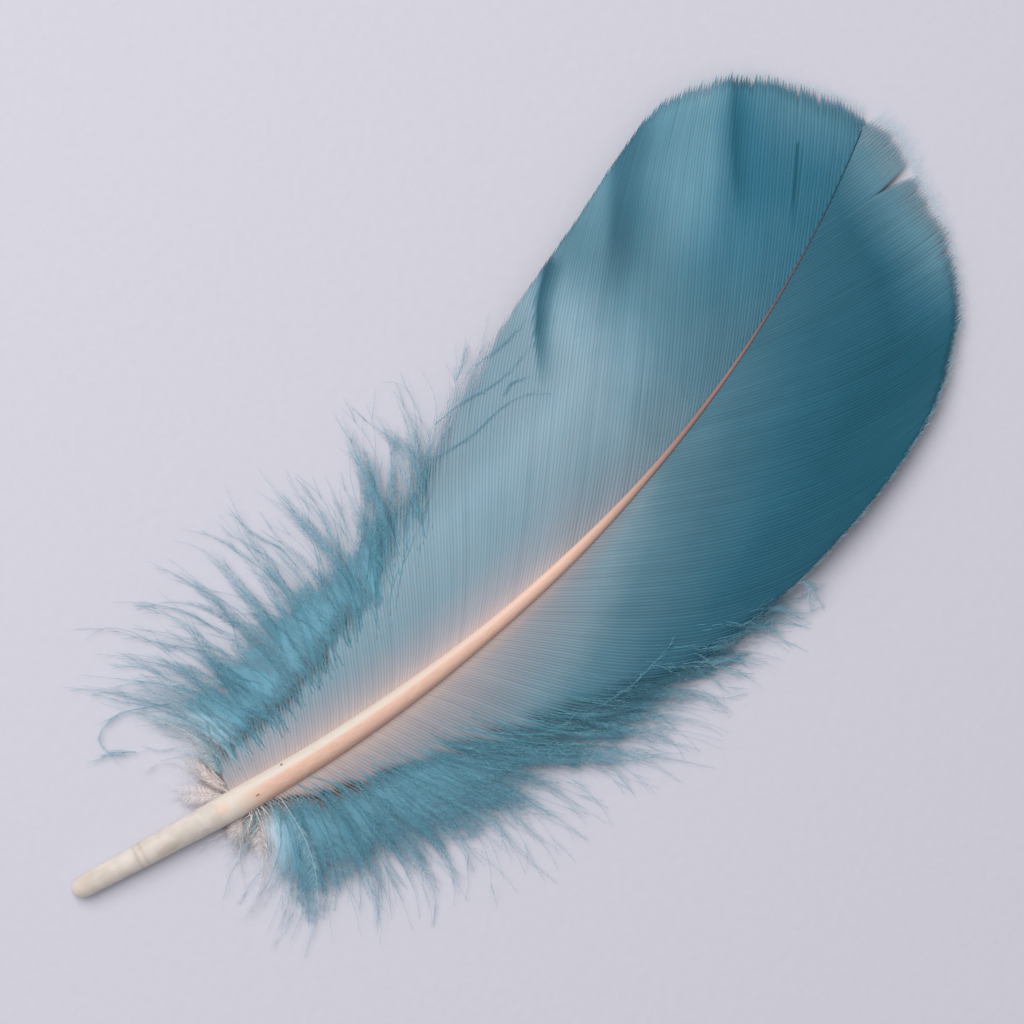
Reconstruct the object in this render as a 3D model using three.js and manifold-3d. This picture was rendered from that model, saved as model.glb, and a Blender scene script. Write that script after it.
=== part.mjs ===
// A dyed turkey wing feather lying on a table: a bare quill that runs on as the shaft, a vane on
// each side of it, and a fringe of downy locks round the lower half.
import * as THREE from 'three';
import { mergeVertices } from 'three/addons/utils/BufferGeometryUtils.js';
import Module from 'manifold-3d';

// Driving dimensions in millimetres and degrees. X runs from the quill's tip to the vane's tip,
// Y to the feather's left and Z up from the table.
const QUILL_STRAIGHT = 23.6; // the quill runs straight this far
const QUILL_HEADING = -15.4;
const TIP = { x: 158.2, y: 0.6, heading: 24.4 };
const BEND = { atQuill: 40.5, atTip: 51.9 }; // how far the shaft holds each end's heading
const QUILL_TIP_WIDTH = 3;
const QUILL_ROUND = 1.6; // the quill's tip is rounded over this length
const QUILL_WIDTH = 4.2; // where the vanes begin
const SHAFT_TIP_WIDTH = 0.5;
const SHAFT_TAPER = 1.35;
const SHAFT_END = 160.5; // along the shaft's line
const ARCH = 4.2; // the shaft's middle stands this far off the table
const TIP_LIFT = 0.6;
const VANE_START = 27;
const VANE_END = 161.5;
const VANE_THICKNESS = 0.6;
const VANE_CROWN = 0.9; // rise of the vane between shaft and edge
const BARB_ROWS = 48;
const BARB_RIDGE = 0.14; // every second row of barbs stands proud
const FRINGE = 0.8; // and ends this much short
const BARB_STEPS = [0, 0.1, 0.26, 0.44, 0.62, 0.8, 1];
const SHAFT_SIDES = 8;
const SHAFT_STEPS = 36;
const LOCK_SIDES = 4;
const LOCK_STEPS = 4;
const LOCK_TIP_WIDTH = 0.35;
const LOCK_TAPER = 1.5;
const LOCK_CLEARANCE = 0.02; // between a lock's underside and the table

// Barbs at some places along the shaft: where the root is, the angle at which the barb leaves,
// how far along and how far off the shaft its end lies, the angle there, and the end's height.
const LEFT_BARBS = [
  [27, 84, 27.8, 12.4, 84, 2.2],
  [34.3, 64, 38.6, 11.6, 76, 2.0],
  [43, 54, 51.6, 15.2, 62, 2.0],
  [51.4, 46, 68, 22.6, 42, 1.7],
  [60, 41, 90, 28.6, 27, 1.9],
  [68.6, 38, 111, 30.3, 17, 2.2],
  [77.1, 35.5, 134.5, 30.3, 9, 2.6],
  [85.7, 33, 148.8, 28.9, 6, 2.4],
  [94.3, 31.3, 154, 26.6, 7, 2.3],
  [102.9, 31, 157.6, 24, 9, 2.2],
  [111.4, 27.5, 160.6, 20.8, 12, 1.9],
  [120, 25.8, 162.4, 17, 14.5, 1.6],
  [128.6, 24.6, 163.1, 13.2, 18, 1.3],
  [137.1, 22.3, 163.6, 9.4, 20.7, 1.1],
  [150, 20, 163.6, 4.4, 21, 0.9],
  [VANE_END, 17, 162.9, 0.6, 20, 0.8],
];
const RIGHT_BARBS = [
  [27, 60, 29, 4.2, 62, 2.2],
  [34.3, 56, 38.5, 8.2, 56, 2.2],
  [43, 52, 51, 12.6, 45, 2.4],
  [51.4, 48, 63, 17.2, 36, 2.6],
  [60, 44, 77, 21.6, 28, 3.0],
  [68.6, 42.6, 94, 25, 21, 3.4],
  [77.1, 41, 113, 27, 17, 3.8],
  [85.7, 39.7, 126.3, 27.6, 14, 3.2],
  [102.9, 36.7, 140, 25.4, 17, 1.9],
  [115, 34.5, 146.8, 22, 22, 1.4],
  [122.3, 33, 150.8, 18.6, 25, 1.2],
  [130, 31.5, 154.2, 14.8, 28, 1.1],
  [137.1, 30.5, 156.4, 11.2, 29, 1.0],
  [145.5, 29, 159.4, 7.7, 29, 0.9],
  [153.5, 28, 162, 4.5, 28, 0.9],
  [VANE_END, 26, 162.9, 0.6, 26, 0.8],
];

// Soft folds pressed into the left vane, each along a line seen from above, from the edge inwards.
const FOLDS = [
  { line: [[149, 17.6], [142.1, 10.8], [135.1, 2.2]], halfWidth: 1.7, depth: 1.1 },
  { line: [[130.3, 21.8], [124.8, 17.1], [116.7, 10], [110.4, 1.2]], halfWidth: 2.4, depth: 1.1 },
  { line: [[110.6, 16.9], [103.5, 11.5], [100, 6.9]], halfWidth: 1.2, depth: 1.0 },
];
const NOTCH = { root: 142, halfWidth: 2.4, share: 0.26 }; // a split in the right vane's edge

// The locks' tips follow these lines. Each family grows from its vane between two roots.
const LOCK_FAMILIES = [
  {
    side: 1,
    from: 27.5,
    to: 67,
    count: 26,
    width: 2.9,
    bend: 0.16,
    tips: [[22, 11], [21, 18], [31, 21.5], [40, 25], [50, 25.5], [60, 25.5], [71, 25], [84, 20.5],
      [96, 18], [107, 17.5]],
  },
  {
    side: -1,
    from: 27.5,
    to: 73,
    count: 32,
    width: 2.9,
    bend: -0.16,
    tips: [[18, -8.5], [14.5, -21], [16.5, -28], [26, -34], [36, -38.5], [48, -43.5], [62, -46], [76, -47.5],
      [90, -47], [104, -44.5]],
  },
];
const LOCK_SHORTER = 0.16; // every third lock is this share short of the line
const LOCK_ROOT_AT = 0.8; // share of a barb's length at which its lock leaves the vane
const LOCK_RISE = 1.6; // the fluff's height over the table

const { degToRad } = THREE.MathUtils;
const wasm = await Module();
wasm.setup();

// The shaft's line seen from above: a straight quill, then one long bend that opens to the tip.
function shaftLine() {
  const start = degToRad(QUILL_HEADING);
  const end = degToRad(TIP.heading);
  const away = (length, angle) => new THREE.Vector2(Math.cos(angle), Math.sin(angle)).multiplyScalar(length);
  const quillEnd = away(QUILL_STRAIGHT, start);
  const tip = new THREE.Vector2(TIP.x, TIP.y);
  const line = new THREE.CurvePath();
  line.add(new THREE.LineCurve(new THREE.Vector2(0, 0), quillEnd));
  line.add(
    new THREE.CubicBezierCurve(
      quillEnd,
      quillEnd.clone().add(away(BEND.atQuill, start)),
      tip.clone().sub(away(BEND.atTip, end)),
      tip,
    ),
  );
  return line;
}

const LINE = shaftLine();
LINE.arcLengthDivisions = 400;
const LINE_LENGTH = LINE.getLength();

// The point at a distance along the line, with the headings forward and to the left.
function station(distance) {
  const share = Math.min(distance / LINE_LENGTH, 1);
  const point = LINE.getPointAt(share);
  const forward = share < QUILL_STRAIGHT / LINE_LENGTH
    ? new THREE.Vector2(Math.cos(degToRad(QUILL_HEADING)), Math.sin(degToRad(QUILL_HEADING)))
    : LINE.getTangentAt(share).normalize();
  point.addScaledVector(forward, Math.max(distance - LINE_LENGTH, 0));
  return { point, forward, left: new THREE.Vector2(-forward.y, forward.x) };
}

function shaftHalfWidth(distance) {
  if (distance <= VANE_START) {
    const share = Math.pow(distance / VANE_START, 0.8);
    const round = Math.sqrt(1 - Math.max(1 - distance / QUILL_ROUND, 0) ** 2);
    return (THREE.MathUtils.lerp(QUILL_TIP_WIDTH, QUILL_WIDTH, share) * Math.max(round, 0.3)) / 2;
  }
  const share = 1 - (distance - VANE_START) / (SHAFT_END - VANE_START);
  const slender = Math.pow(Math.max(share, 0), SHAFT_TAPER);
  return THREE.MathUtils.lerp(SHAFT_TIP_WIDTH, QUILL_WIDTH, slender) / 2;
}

// Height of the shaft's middle. The quill's underside lies flat on the table.
function shaftHeight(distance) {
  const share = THREE.MathUtils.clamp((distance - QUILL_STRAIGHT) / (SHAFT_END - QUILL_STRAIGHT), 0, 1);
  const lift = TIP_LIFT * share + ARCH * Math.pow(Math.sin(Math.PI * share), 1.4);
  return shaftHalfWidth(distance) + lift;
}

// Joins rings of points, each going clockwise seen from the far end, into one closed skin.
function skin(rings) {
  const size = rings[0].length;
  const index = [];
  for (let i = 0; i < rings.length - 1; i += 1) {
    for (let j = 0; j < size; j += 1) {
      const a = i * size + j;
      const b = i * size + ((j + 1) % size);
      index.push(a, b, b + size, a, b + size, a + size);
    }
  }
  const last = (rings.length - 1) * size;
  for (let j = 1; j < size - 1; j += 1) {
    index.push(0, j + 1, j, last, last + j, last + j + 1);
  }
  const geometry = new THREE.BufferGeometry();
  const positions = rings.flat().flatMap((p) => p.toArray());
  geometry.setAttribute('position', new THREE.Float32BufferAttribute(positions, 3));
  geometry.setIndex(index);
  return geometry;
}

// A ring round a point, flat side down, square to a heading seen from above.
function ring(centre, left, halfWidth, halfHeight, sides) {
  const reach = 1 / Math.cos(Math.PI / sides);
  return Array.from({ length: sides }, (_, i) => {
    const angle = (2 * Math.PI * (i + 0.5)) / sides - Math.PI / 2;
    const across = Math.cos(angle) * halfWidth * reach;
    const up = Math.sin(angle) * halfHeight * reach;
    return new THREE.Vector3(centre.x + left.x * across, centre.y + left.y * across, centre.z + up);
  });
}

function shaft() {
  const rings = [];
  const steps = Array.from({ length: SHAFT_STEPS }, (_, i) => (SHAFT_END * (i + 1)) / SHAFT_STEPS);
  for (const distance of [0, QUILL_ROUND / 4, QUILL_ROUND, ...steps]) {
    const { point, left } = station(distance);
    const half = shaftHalfWidth(distance);
    const centre = new THREE.Vector3(point.x, point.y, shaftHeight(distance));
    rings.push(ring(centre, left, half, half, SHAFT_SIDES));
  }
  return skin(rings);
}

// Smooth values between the rows of a table whose first column is the distance along the shaft.
function between(table) {
  const positions = table.map((row) => row[0]);
  const values = table.flatMap((row) => row.slice(1));
  const reader = new THREE.CubicInterpolant(positions, values, table[0].length - 1, []);
  return (distance) => Array.from(reader.evaluate(distance));
}

const BARBS = { 1: between(LEFT_BARBS), '-1': between(RIGHT_BARBS) };

function smooth(low, high, value) {
  return THREE.MathUtils.smoothstep(value, low, high);
}

function dip(halfWidth, distance) {
  return Math.exp(-((distance / halfWidth) ** 2));
}

// How far a point lies from a line of straight pieces.
function distanceToLine(point, line) {
  const distances = line.slice(1).map(([x, y], i) => {
    const from = new THREE.Vector2(...line[i]);
    const span = new THREE.Vector2(x, y).sub(from);
    const share = THREE.MathUtils.clamp(point.clone().sub(from).dot(span) / span.lengthSq(), 0, 1);
    return from.addScaledVector(span, share).distanceTo(point);
  });
  return Math.min(...distances);
}

// A barb seen from above, as a curve from its root on the shaft to its end at the vane's edge.
function barb(side, root) {
  const [leave, along, off, arrive] = BARBS[side](root);
  const from = station(root);
  const to = station(along);
  const turned = (forward, angle) => forward.clone().rotateAround(new THREE.Vector2(), side * degToRad(angle));
  const end = to.point.clone().addScaledVector(to.left, side * off);
  const handle = 0.36 * end.distanceTo(from.point);
  return new THREE.CubicBezierCurve(
    from.point,
    from.point.clone().addScaledVector(turned(from.forward, leave), handle),
    end.clone().addScaledVector(turned(to.forward, arrive), -handle),
    end,
  );
}

// A point on the vane's upper face, at a share of a barb's length.
function vanePoint(side, root, share) {
  const point = barb(side, root).getPoint(share);
  const edge = BARBS[side](root)[4];
  const start = shaftHeight(root);
  const droop = (edge - start) * share * share * (3 - 2 * share);
  let height = start + droop + VANE_CROWN * Math.sin(Math.PI * share) * smooth(VANE_END, 110, root);
  if (side > 0) {
    for (const { line, halfWidth, depth } of FOLDS) {
      height -= depth * dip(halfWidth, distanceToLine(point, line));
    }
  }
  return new THREE.Vector3(point.x, point.y, Math.max(height, VANE_THICKNESS + LOCK_CLEARANCE));
}

// Both vanes as one thin sheet. Each row of points runs along a left barb to the shaft and out
// again along a right one; every second row is a ridge and ends short, which makes the fringe.
function vanes() {
  const rows = [];
  for (let i = 0; i < BARB_ROWS; i += 1) {
    const root = THREE.MathUtils.lerp(VANE_START, VANE_END, i / (BARB_ROWS - 1));
    const proud = i % 2 === 1;
    const half = (side) => BARB_STEPS.slice(1).map((step) => {
      const length = barb(side, root).getLength();
      const cut = side < 0 ? NOTCH.share * dip(NOTCH.halfWidth, root - NOTCH.root) : 0;
      const full = 1 - cut - (proud ? Math.min(FRINGE / length, 0.2) : 0);
      const point = vanePoint(side, root, step * full);
      if (proud) point.z += BARB_RIDGE;
      return point;
    });
    rows.push([...half(1).reverse(), vanePoint(1, root, 0), ...half(-1)]);
  }
  return sheet(rows, VANE_THICKNESS);
}

// A closed sheet from rows of points on its upper face.
function sheet(rows, thickness) {
  const width = rows[0].length;
  const count = rows.length * width;
  const points = rows.flat();
  const index = [];
  for (let i = 0; i < rows.length - 1; i += 1) {
    for (let j = 0; j < width - 1; j += 1) {
      const a = i * width + j;
      index.push(a, a + 1, a + width + 1, a, a + width + 1, a + width);
      index.push(count + a, count + a + width + 1, count + a + 1);
      index.push(count + a, count + a + width, count + a + width + 1);
    }
  }
  const rim = [];
  for (let j = 0; j < width - 1; j += 1) rim.push(j);
  for (let i = 0; i < rows.length - 1; i += 1) rim.push(i * width + width - 1);
  for (let j = width - 1; j > 0; j -= 1) rim.push((rows.length - 1) * width + j);
  for (let i = rows.length - 1; i > 0; i -= 1) rim.push(i * width);
  rim.forEach((a, k) => {
    const b = rim[(k + 1) % rim.length];
    index.push(b, a, count + a, b, count + a, count + b);
  });
  const lower = points.map((p) => new THREE.Vector3(p.x, p.y, p.z - thickness));
  const geometry = new THREE.BufferGeometry();
  const positions = [...points, ...lower].flatMap((p) => p.toArray());
  geometry.setAttribute('position', new THREE.Float32BufferAttribute(positions, 3));
  geometry.setIndex(index);
  return geometry;
}

// One downy lock: a flat tapering spindle that swings out from the vane and sinks to the table.
function lock(from, to, width, bend) {
  const span = to.clone().sub(from);
  const middle = from.clone().addScaledVector(span, 0.5);
  middle.x -= span.y * bend;
  middle.y += span.x * bend;
  middle.z = Math.max(from.z, LOCK_RISE);
  const path = new THREE.QuadraticBezierCurve3(from, middle, to);
  const rings = [];
  for (let i = 0; i <= LOCK_STEPS; i += 1) {
    const share = i / LOCK_STEPS;
    const centre = path.getPoint(share);
    const forward = path.getTangent(share);
    const left = new THREE.Vector2(-forward.y, forward.x).normalize();
    const halfWidth = THREE.MathUtils.lerp(width, LOCK_TIP_WIDTH, share ** LOCK_TAPER) / 2;
    const halfHeight = Math.max(halfWidth * 0.5, LOCK_TIP_WIDTH / 2);
    const reach = halfHeight / Math.cos(Math.PI / LOCK_SIDES);
    centre.z = Math.max(centre.z, reach + LOCK_CLEARANCE);
    rings.push(ring(centre, left, halfWidth, halfHeight, LOCK_SIDES));
  }
  return skin(rings);
}

function locks() {
  return LOCK_FAMILIES.flatMap((family) => {
    const tips = new THREE.CatmullRomCurve3(family.tips.map(([x, y]) => new THREE.Vector3(x, y, 0)));
    return Array.from({ length: family.count }, (_, i) => {
      const share = i / (family.count - 1);
      const root = THREE.MathUtils.lerp(family.from, family.to, share ** 1.15);
      const from = vanePoint(family.side, root, LOCK_ROOT_AT);
      from.z -= VANE_THICKNESS / 2;
      const tip = tips.getPointAt(share);
      const short = i % 3 === 1 ? LOCK_SHORTER : 0;
      const to = new THREE.Vector3(
        THREE.MathUtils.lerp(tip.x, from.x, short),
        THREE.MathUtils.lerp(tip.y, from.y, short),
        LOCK_TIP_WIDTH,
      );
      return lock(from, to, family.width, family.bend);
    });
  });
}

function solid(geometry) {
  geometry.deleteAttribute('normal');
  geometry.deleteAttribute('uv');
  const merged = mergeVertices(geometry, 1e-4);
  return new wasm.Manifold(
    new wasm.Mesh({
      numProp: 3,
      vertProperties: new Float32Array(merged.attributes.position.array),
      triVerts: new Uint32Array(merged.index.array),
    }),
  );
}

// Joins the shaft, the vanes and the locks into the one body that grew. Pockets sealed between
// crossing locks are left out, so that the body is solid there.
function feather() {
  const shells = wasm.Manifold.union([shaft(), vanes(), ...locks()].map(solid)).decompose();
  const joined = shells.find((shell) => shell.volume() > 0).getMesh();
  const geometry = new THREE.BufferGeometry();
  geometry.setAttribute('position', new THREE.BufferAttribute(joined.vertProperties, 3));
  geometry.setIndex(new THREE.BufferAttribute(joined.triVerts, 1));
  return geometry;
}

const dyedTeal = new THREE.MeshStandardMaterial({ color: 0x4f8ba1, roughness: 0.75, metalness: 0 });
const mesh = new THREE.Mesh(feather(), dyedTeal);
mesh.name = 'feather';

// The origin is under the middle of the feather, on the table.
mesh.geometry.computeBoundingBox();
const centre = mesh.geometry.boundingBox.getCenter(new THREE.Vector3());
mesh.position.set(-centre.x, -centre.y, -mesh.geometry.boundingBox.min.z);

const model = new THREE.Group();
model.add(mesh);

export default model;
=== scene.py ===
import math

import bmesh
import bpy
import numpy as np
from mathutils import Matrix, Vector


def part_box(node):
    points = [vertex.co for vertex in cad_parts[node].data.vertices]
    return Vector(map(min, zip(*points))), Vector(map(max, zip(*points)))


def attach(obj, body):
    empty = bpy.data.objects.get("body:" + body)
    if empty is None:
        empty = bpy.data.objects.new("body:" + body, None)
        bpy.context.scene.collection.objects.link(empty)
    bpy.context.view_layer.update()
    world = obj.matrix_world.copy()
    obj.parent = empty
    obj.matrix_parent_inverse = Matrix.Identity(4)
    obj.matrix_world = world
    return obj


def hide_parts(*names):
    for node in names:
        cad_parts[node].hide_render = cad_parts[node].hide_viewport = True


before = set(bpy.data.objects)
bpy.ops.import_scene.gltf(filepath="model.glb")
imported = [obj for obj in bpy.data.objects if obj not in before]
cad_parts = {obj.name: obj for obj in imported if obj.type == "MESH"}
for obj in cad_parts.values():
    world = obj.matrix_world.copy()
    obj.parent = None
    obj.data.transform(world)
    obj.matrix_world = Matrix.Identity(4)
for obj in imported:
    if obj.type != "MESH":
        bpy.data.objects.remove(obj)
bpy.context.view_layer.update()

MM = 0.001
CHANCE = np.random.default_rng(7)

# ---- the feather's plan

LOWEST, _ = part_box("feather")
PLAN_CORNER = (-0.12, -47.68)  # the solid's lowest corner on the plan
PLAN_ORIGIN = (LOWEST.x / MM - PLAN_CORNER[0], LOWEST.y / MM - PLAN_CORNER[1])

QUILL_STRAIGHT = 23.6
QUILL_HEADING = -15.4
TIP = (158.2, 0.6)
TIP_HEADING = 24.4
BEND_AT_QUILL, BEND_AT_TIP = 40.5, 51.9
SHAFT_END = 160.5
VANE_START, VANE_END = 26.9, 161.5
ARCH = 4.2
TIP_LIFT = 0.6
VANE_CROWN = 0.9

# Width of the quill and shaft, by distance along them.
SHAFT_WIDTHS = [
    (0.0, 3.0), (5.0, 3.3), (11.0, 3.6), (20.0, 3.95), (27.0, 4.25), (36.0, 3.9), (49.0, 3.4),
    (60.0, 2.9), (71.0, 2.25), (86.0, 1.75), (99.0, 1.15), (110.0, 0.82), (120.0, 0.62),
    (137.0, 0.4), (160.5, 0.22),
]

# Barbs at some places along the shaft: where the root is, the angle at which the barb leaves,
# how far along and how far off the shaft its end lies, the angle there, and the end's height.
LEFT_BARBS = [
    (26.9, 84, 27.8, 12.4, 84, 2.2),
    (34.3, 64, 38.6, 11.6, 76, 2.0),
    (43.0, 54, 51.6, 15.2, 62, 2.0),
    (51.4, 46, 68.0, 22.6, 42, 1.7),
    (60.0, 41, 90.0, 28.6, 27, 1.9),
    (68.6, 38, 111.0, 30.3, 17, 2.2),
    (77.1, 35.5, 134.5, 30.3, 9, 2.6),
    (85.7, 33, 148.8, 28.9, 6, 2.4),
    (94.3, 31.3, 154.0, 26.6, 7, 2.3),
    (102.9, 31, 157.6, 24.0, 9, 2.2),
    (111.4, 27.5, 160.6, 20.8, 12, 1.9),
    (120.0, 25.8, 162.4, 17.0, 14.5, 1.6),
    (128.6, 24.6, 163.1, 13.2, 18, 1.3),
    (137.1, 22.3, 163.6, 9.4, 20.7, 1.1),
    (150.0, 20, 163.6, 4.4, 21, 0.9),
    (161.5, 17, 162.9, 0.6, 20, 0.8),
]
RIGHT_BARBS = [
    (26.9, 60, 29.0, 4.2, 62, 2.2),
    (34.3, 56, 38.5, 8.2, 56, 2.2),
    (43.0, 52, 51.0, 12.6, 45, 2.4),
    (51.4, 48, 63.0, 17.2, 36, 2.6),
    (60.0, 44, 77.0, 21.6, 28, 3.0),
    (68.6, 42.6, 94.0, 25.0, 21, 3.4),
    (77.1, 41, 113.0, 27.0, 17, 3.8),
    (85.7, 39.7, 126.3, 27.6, 14, 3.2),
    (102.9, 36.7, 140.0, 25.4, 17, 1.9),
    (115.0, 34.5, 146.8, 22.0, 22, 1.4),
    (122.3, 33, 150.8, 18.6, 25, 1.2),
    (130.0, 31.5, 154.2, 14.8, 28, 1.1),
    (137.1, 30.5, 156.4, 11.2, 29, 1.0),
    (145.5, 29, 159.4, 7.7, 29, 0.9),
    (153.5, 28, 162.0, 4.5, 28, 0.9),
    (161.5, 26, 162.9, 0.6, 26, 0.8),
]
BARB_SPACING = {1: 0.48, -1: 0.46}  # across the barbs, halfway along them
CLOSEST_ROOTS = 0.3

# Folds pressed into the left vane: the line of each on the plan from the edge inwards, its half
# width, its depth and how much painted shade darkens it.
FOLDS = [
    ([(149.0, 17.6), (142.1, 10.8), (138.7, 6.7), (135.1, 2.2)], 1.5, 0.18, 0.8),
    ([(131.0, 22.6), (126.0, 17.9), (120.4, 12.4), (113.5, 6.0)], 3.2, 0.2, 1.55),
    ([(111.0, 17.2), (106.8, 14.6), (103.5, 11.5), (98.0, 4.4)], 1.0, 0.25, 2.3),
    ([(148.6, 5.0), (145.4, 2.1), (139.1, -3.6)], 0.35, 0.06, 1.1),
]
STEEP_WALL, GENTLE_WALL = 0.5, 1.6  # a fold's width towards the quill and away from it

# Splits between barbs: side, root, how far the ends are drawn apart, the share where it starts,
# and how far from it along the shaft barbs still give way.
SPLITS = [
    (1, 133.5, 0.16, 0.5, 4.0),
    (1, 115.2, 0.2, 0.72, 4.0),
    (1, 141.0, 0.42, 0.74, 3.0),
    (-1, 143.0, 1.9, 0.45, 3.2),
    (-1, 152.0, 0.35, 0.6, 3.0),
    (-1, 125.0, 0.3, 0.8, 3.0),
]


def smooth(low, high, value):
    share = np.clip((np.asarray(value, float) - low) / (high - low), 0, 1)
    return share * share * (3 - 2 * share)


def blend(a, b, share):
    return a + (b - a) * share


def bezier(a, b, c, d, t):
    return a * (1 - t) ** 3 + 3 * b * t * (1 - t) ** 2 + 3 * c * t * t * (1 - t) + d * t ** 3


def between(rows, where):
    """Smooth values between the rows of a table whose first column rises."""
    table = np.array(rows, float)
    x, y = table[:, 0], table[:, 1:]
    slope = np.gradient(y, x, axis=0)
    where = np.clip(np.asarray(where, float), x[0], x[-1])
    i = np.clip(np.searchsorted(x, where, side="right") - 1, 0, len(x) - 2)
    width = (x[i + 1] - x[i])[..., None]
    t = ((where - x[i])[..., None]) / width
    near, far = (1 + 2 * t) * (1 - t) ** 2, t * t * (3 - 2 * t)
    value = near * y[i] + far * y[i + 1]
    return value + width * (t * (1 - t) ** 2 * slope[i] - t * t * (1 - t) * slope[i + 1])


LINE_STEP = 0.05  # between points of the shaft's line


def shaft_line():
    """Points along the shaft's line at even steps of distance, run on past the tip."""
    def away(length, angle):
        return length * np.array([math.cos(math.radians(angle)), math.sin(math.radians(angle))])
    quill_end = away(QUILL_STRAIGHT, QUILL_HEADING)
    tip = np.array(TIP)
    a, b = quill_end + away(BEND_AT_QUILL, QUILL_HEADING), tip - away(BEND_AT_TIP, TIP_HEADING)
    bend = bezier(quill_end, a, b, tip, np.linspace(0, 1, 1600)[:, None])
    points = np.vstack([[0, 0], bend, tip + away(30, TIP_HEADING)])
    distance = np.concatenate([[0], np.cumsum(np.linalg.norm(np.diff(points, axis=0), axis=1))])
    even = np.arange(0, distance[-1], LINE_STEP)
    line = np.stack([np.interp(even, distance, points[:, k]) for k in (0, 1)], axis=1)
    ahead = np.gradient(line, axis=0)
    return even, line, ahead / np.linalg.norm(ahead, axis=1)[:, None]


LINE_AT, LINE_POINTS, LINE_AHEAD = shaft_line()


def station(distance):
    """The point at a distance along the shaft, the heading there and the heading to the left."""
    point = np.stack([np.interp(distance, LINE_AT, LINE_POINTS[:, k]) for k in (0, 1)], axis=-1)
    ahead = np.stack([np.interp(distance, LINE_AT, LINE_AHEAD[:, k]) for k in (0, 1)], axis=-1)
    return point, ahead, np.stack([-ahead[..., 1], ahead[..., 0]], axis=-1)


def shaft_half_width(distance):
    return between(SHAFT_WIDTHS, distance)[..., 0] / 2


def shaft_height(distance):
    share = np.clip((np.asarray(distance, float) - QUILL_STRAIGHT) / (SHAFT_END - QUILL_STRAIGHT), 0, 1)
    lift = TIP_LIFT * share + ARCH * np.sin(np.pi * share) ** 1.4
    return shaft_half_width(distance) + lift


def turned(heading, angle):
    c, s = np.cos(np.radians(angle)), np.sin(np.radians(angle))
    x, y = heading[..., 0], heading[..., 1]
    return np.stack([x * c - y * s, x * s + y * c], axis=-1)


LIE_EACH, LIE_BATCH = 6, 4000  # which points of the shaft's line are used, and how many at a time


def lie(plan):
    """How far along and how far off the shaft points on the plan lie."""
    flat = plan.reshape(-1, 2)
    line, ahead, at = (rows[::LIE_EACH] for rows in (LINE_POINTS, LINE_AHEAD, LINE_AT))
    along, off = np.empty(len(flat)), np.empty(len(flat))
    for start in range(0, len(flat), LIE_BATCH):
        here = slice(start, start + LIE_BATCH)
        gap = flat[here, None, :] - line[None]
        i = np.argmin((gap ** 2).sum(-1), axis=1)
        near = gap[np.arange(len(gap)), i]
        along[here] = at[i] + (near * ahead[i]).sum(-1)
        off[here] = near[:, 1] * ahead[i, 0] - near[:, 0] * ahead[i, 1]
    return along.reshape(plan.shape[:-1]), off.reshape(plan.shape[:-1])


def legs(plan, line):
    """For each leg of a line on the plan: how many legs along the line the nearest points to
    those of the plan lie, how far off those lie, how far to the left, and the leg's length."""
    for i, (a, b) in enumerate(zip(np.array(line[:-1], float), np.array(line[1:], float))):
        span = b - a
        share = np.clip(((plan - a) @ span) / (span @ span), 0, 1)
        gap = plan - (a + share[..., None] * span)
        left = span[0] * gap[..., 1] - span[1] * gap[..., 0]
        yield i + share, np.linalg.norm(gap, axis=-1), left, np.linalg.norm(span)


def press(plan, line, half):
    """How strongly a fold along a line presses at points on the plan, from 0 to 1. It fades
    towards the line's inner end."""
    best = np.full(plan.shape[:-1], 1e9)
    width = np.full(plan.shape[:-1], half)
    done = np.zeros(plan.shape[:-1])
    for reached, distance, left, length in legs(plan, line):
        away = left / np.maximum(length * distance, 1e-6)
        closer = distance < best
        best = np.where(closer, distance, best)
        width = np.where(closer, half * blend(STEEP_WALL, GENTLE_WALL, 0.5 + 0.5 * away), width)
        done = np.where(closer, reached / (len(line) - 1), done)
    return np.exp(-((best / width) ** 2)) * (1 - 0.95 * smooth(0.55, 1.0, done))


def past(plan, line, soft):
    """1 on the tip's side of a line on the plan, 0 on the quill's side."""
    best, side = np.full(plan.shape[:-1], 1e9), np.zeros(plan.shape[:-1])
    for _, distance, left, _ in legs(plan, line):
        side = np.where(distance < best, distance * np.sign(left), side)
        best = np.minimum(best, distance)
    return smooth(-soft, 0.4, side)


LOWEST_BARB = 0.35


def barb_points(side, roots, shares):
    """Points on barbs, (barbs, shares, 3), and the painted shade that the folds put on them."""
    rows = between(LEFT_BARBS if side > 0 else RIGHT_BARBS, roots)
    leave, along, off, arrive, edge = rows.T
    from_point, from_ahead, _ = station(roots)
    to_point, to_ahead, to_left = station(along)
    end = to_point + side * off[:, None] * to_left
    handle = 0.36 * np.linalg.norm(end - from_point, axis=1)[:, None]
    first = from_point + handle * turned(from_ahead, side * leave)
    last = end - handle * turned(to_ahead, side * arrive)
    t = np.asarray(shares, float)
    t = t if t.ndim == 2 else np.broadcast_to(t, (len(roots), len(t)))
    plan = bezier(*(p[:, None, :] for p in (from_point, first, last, end)), t[..., None])
    start = shaft_height(roots)[:, None]
    height = start + (edge[:, None] - start) * t * t * (3 - 2 * t)
    height = height + VANE_CROWN * np.sin(np.pi * np.clip(t, 0, 1)) * smooth(160, 110, roots)[:, None]
    fold_shade = np.zeros(height.shape)
    if side > 0:
        for line, half, depth, strength in FOLDS:
            pressed = press(plan, line, half)
            height = height - depth * pressed
            # painted shade along each fold
            fold_shade = fold_shade + strength * pressed
    height = np.maximum(height, LOWEST_BARB)
    return np.concatenate([plan, height[..., None]], axis=-1), fold_shade


# ---- meshes from arrays

def place(points):
    """Plan points in millimetres to frame points in metres."""
    moved = np.array(points, float)
    moved[..., 0] += PLAN_ORIGIN[0]
    moved[..., 1] += PLAN_ORIGIN[1]
    return moved * MM


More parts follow.
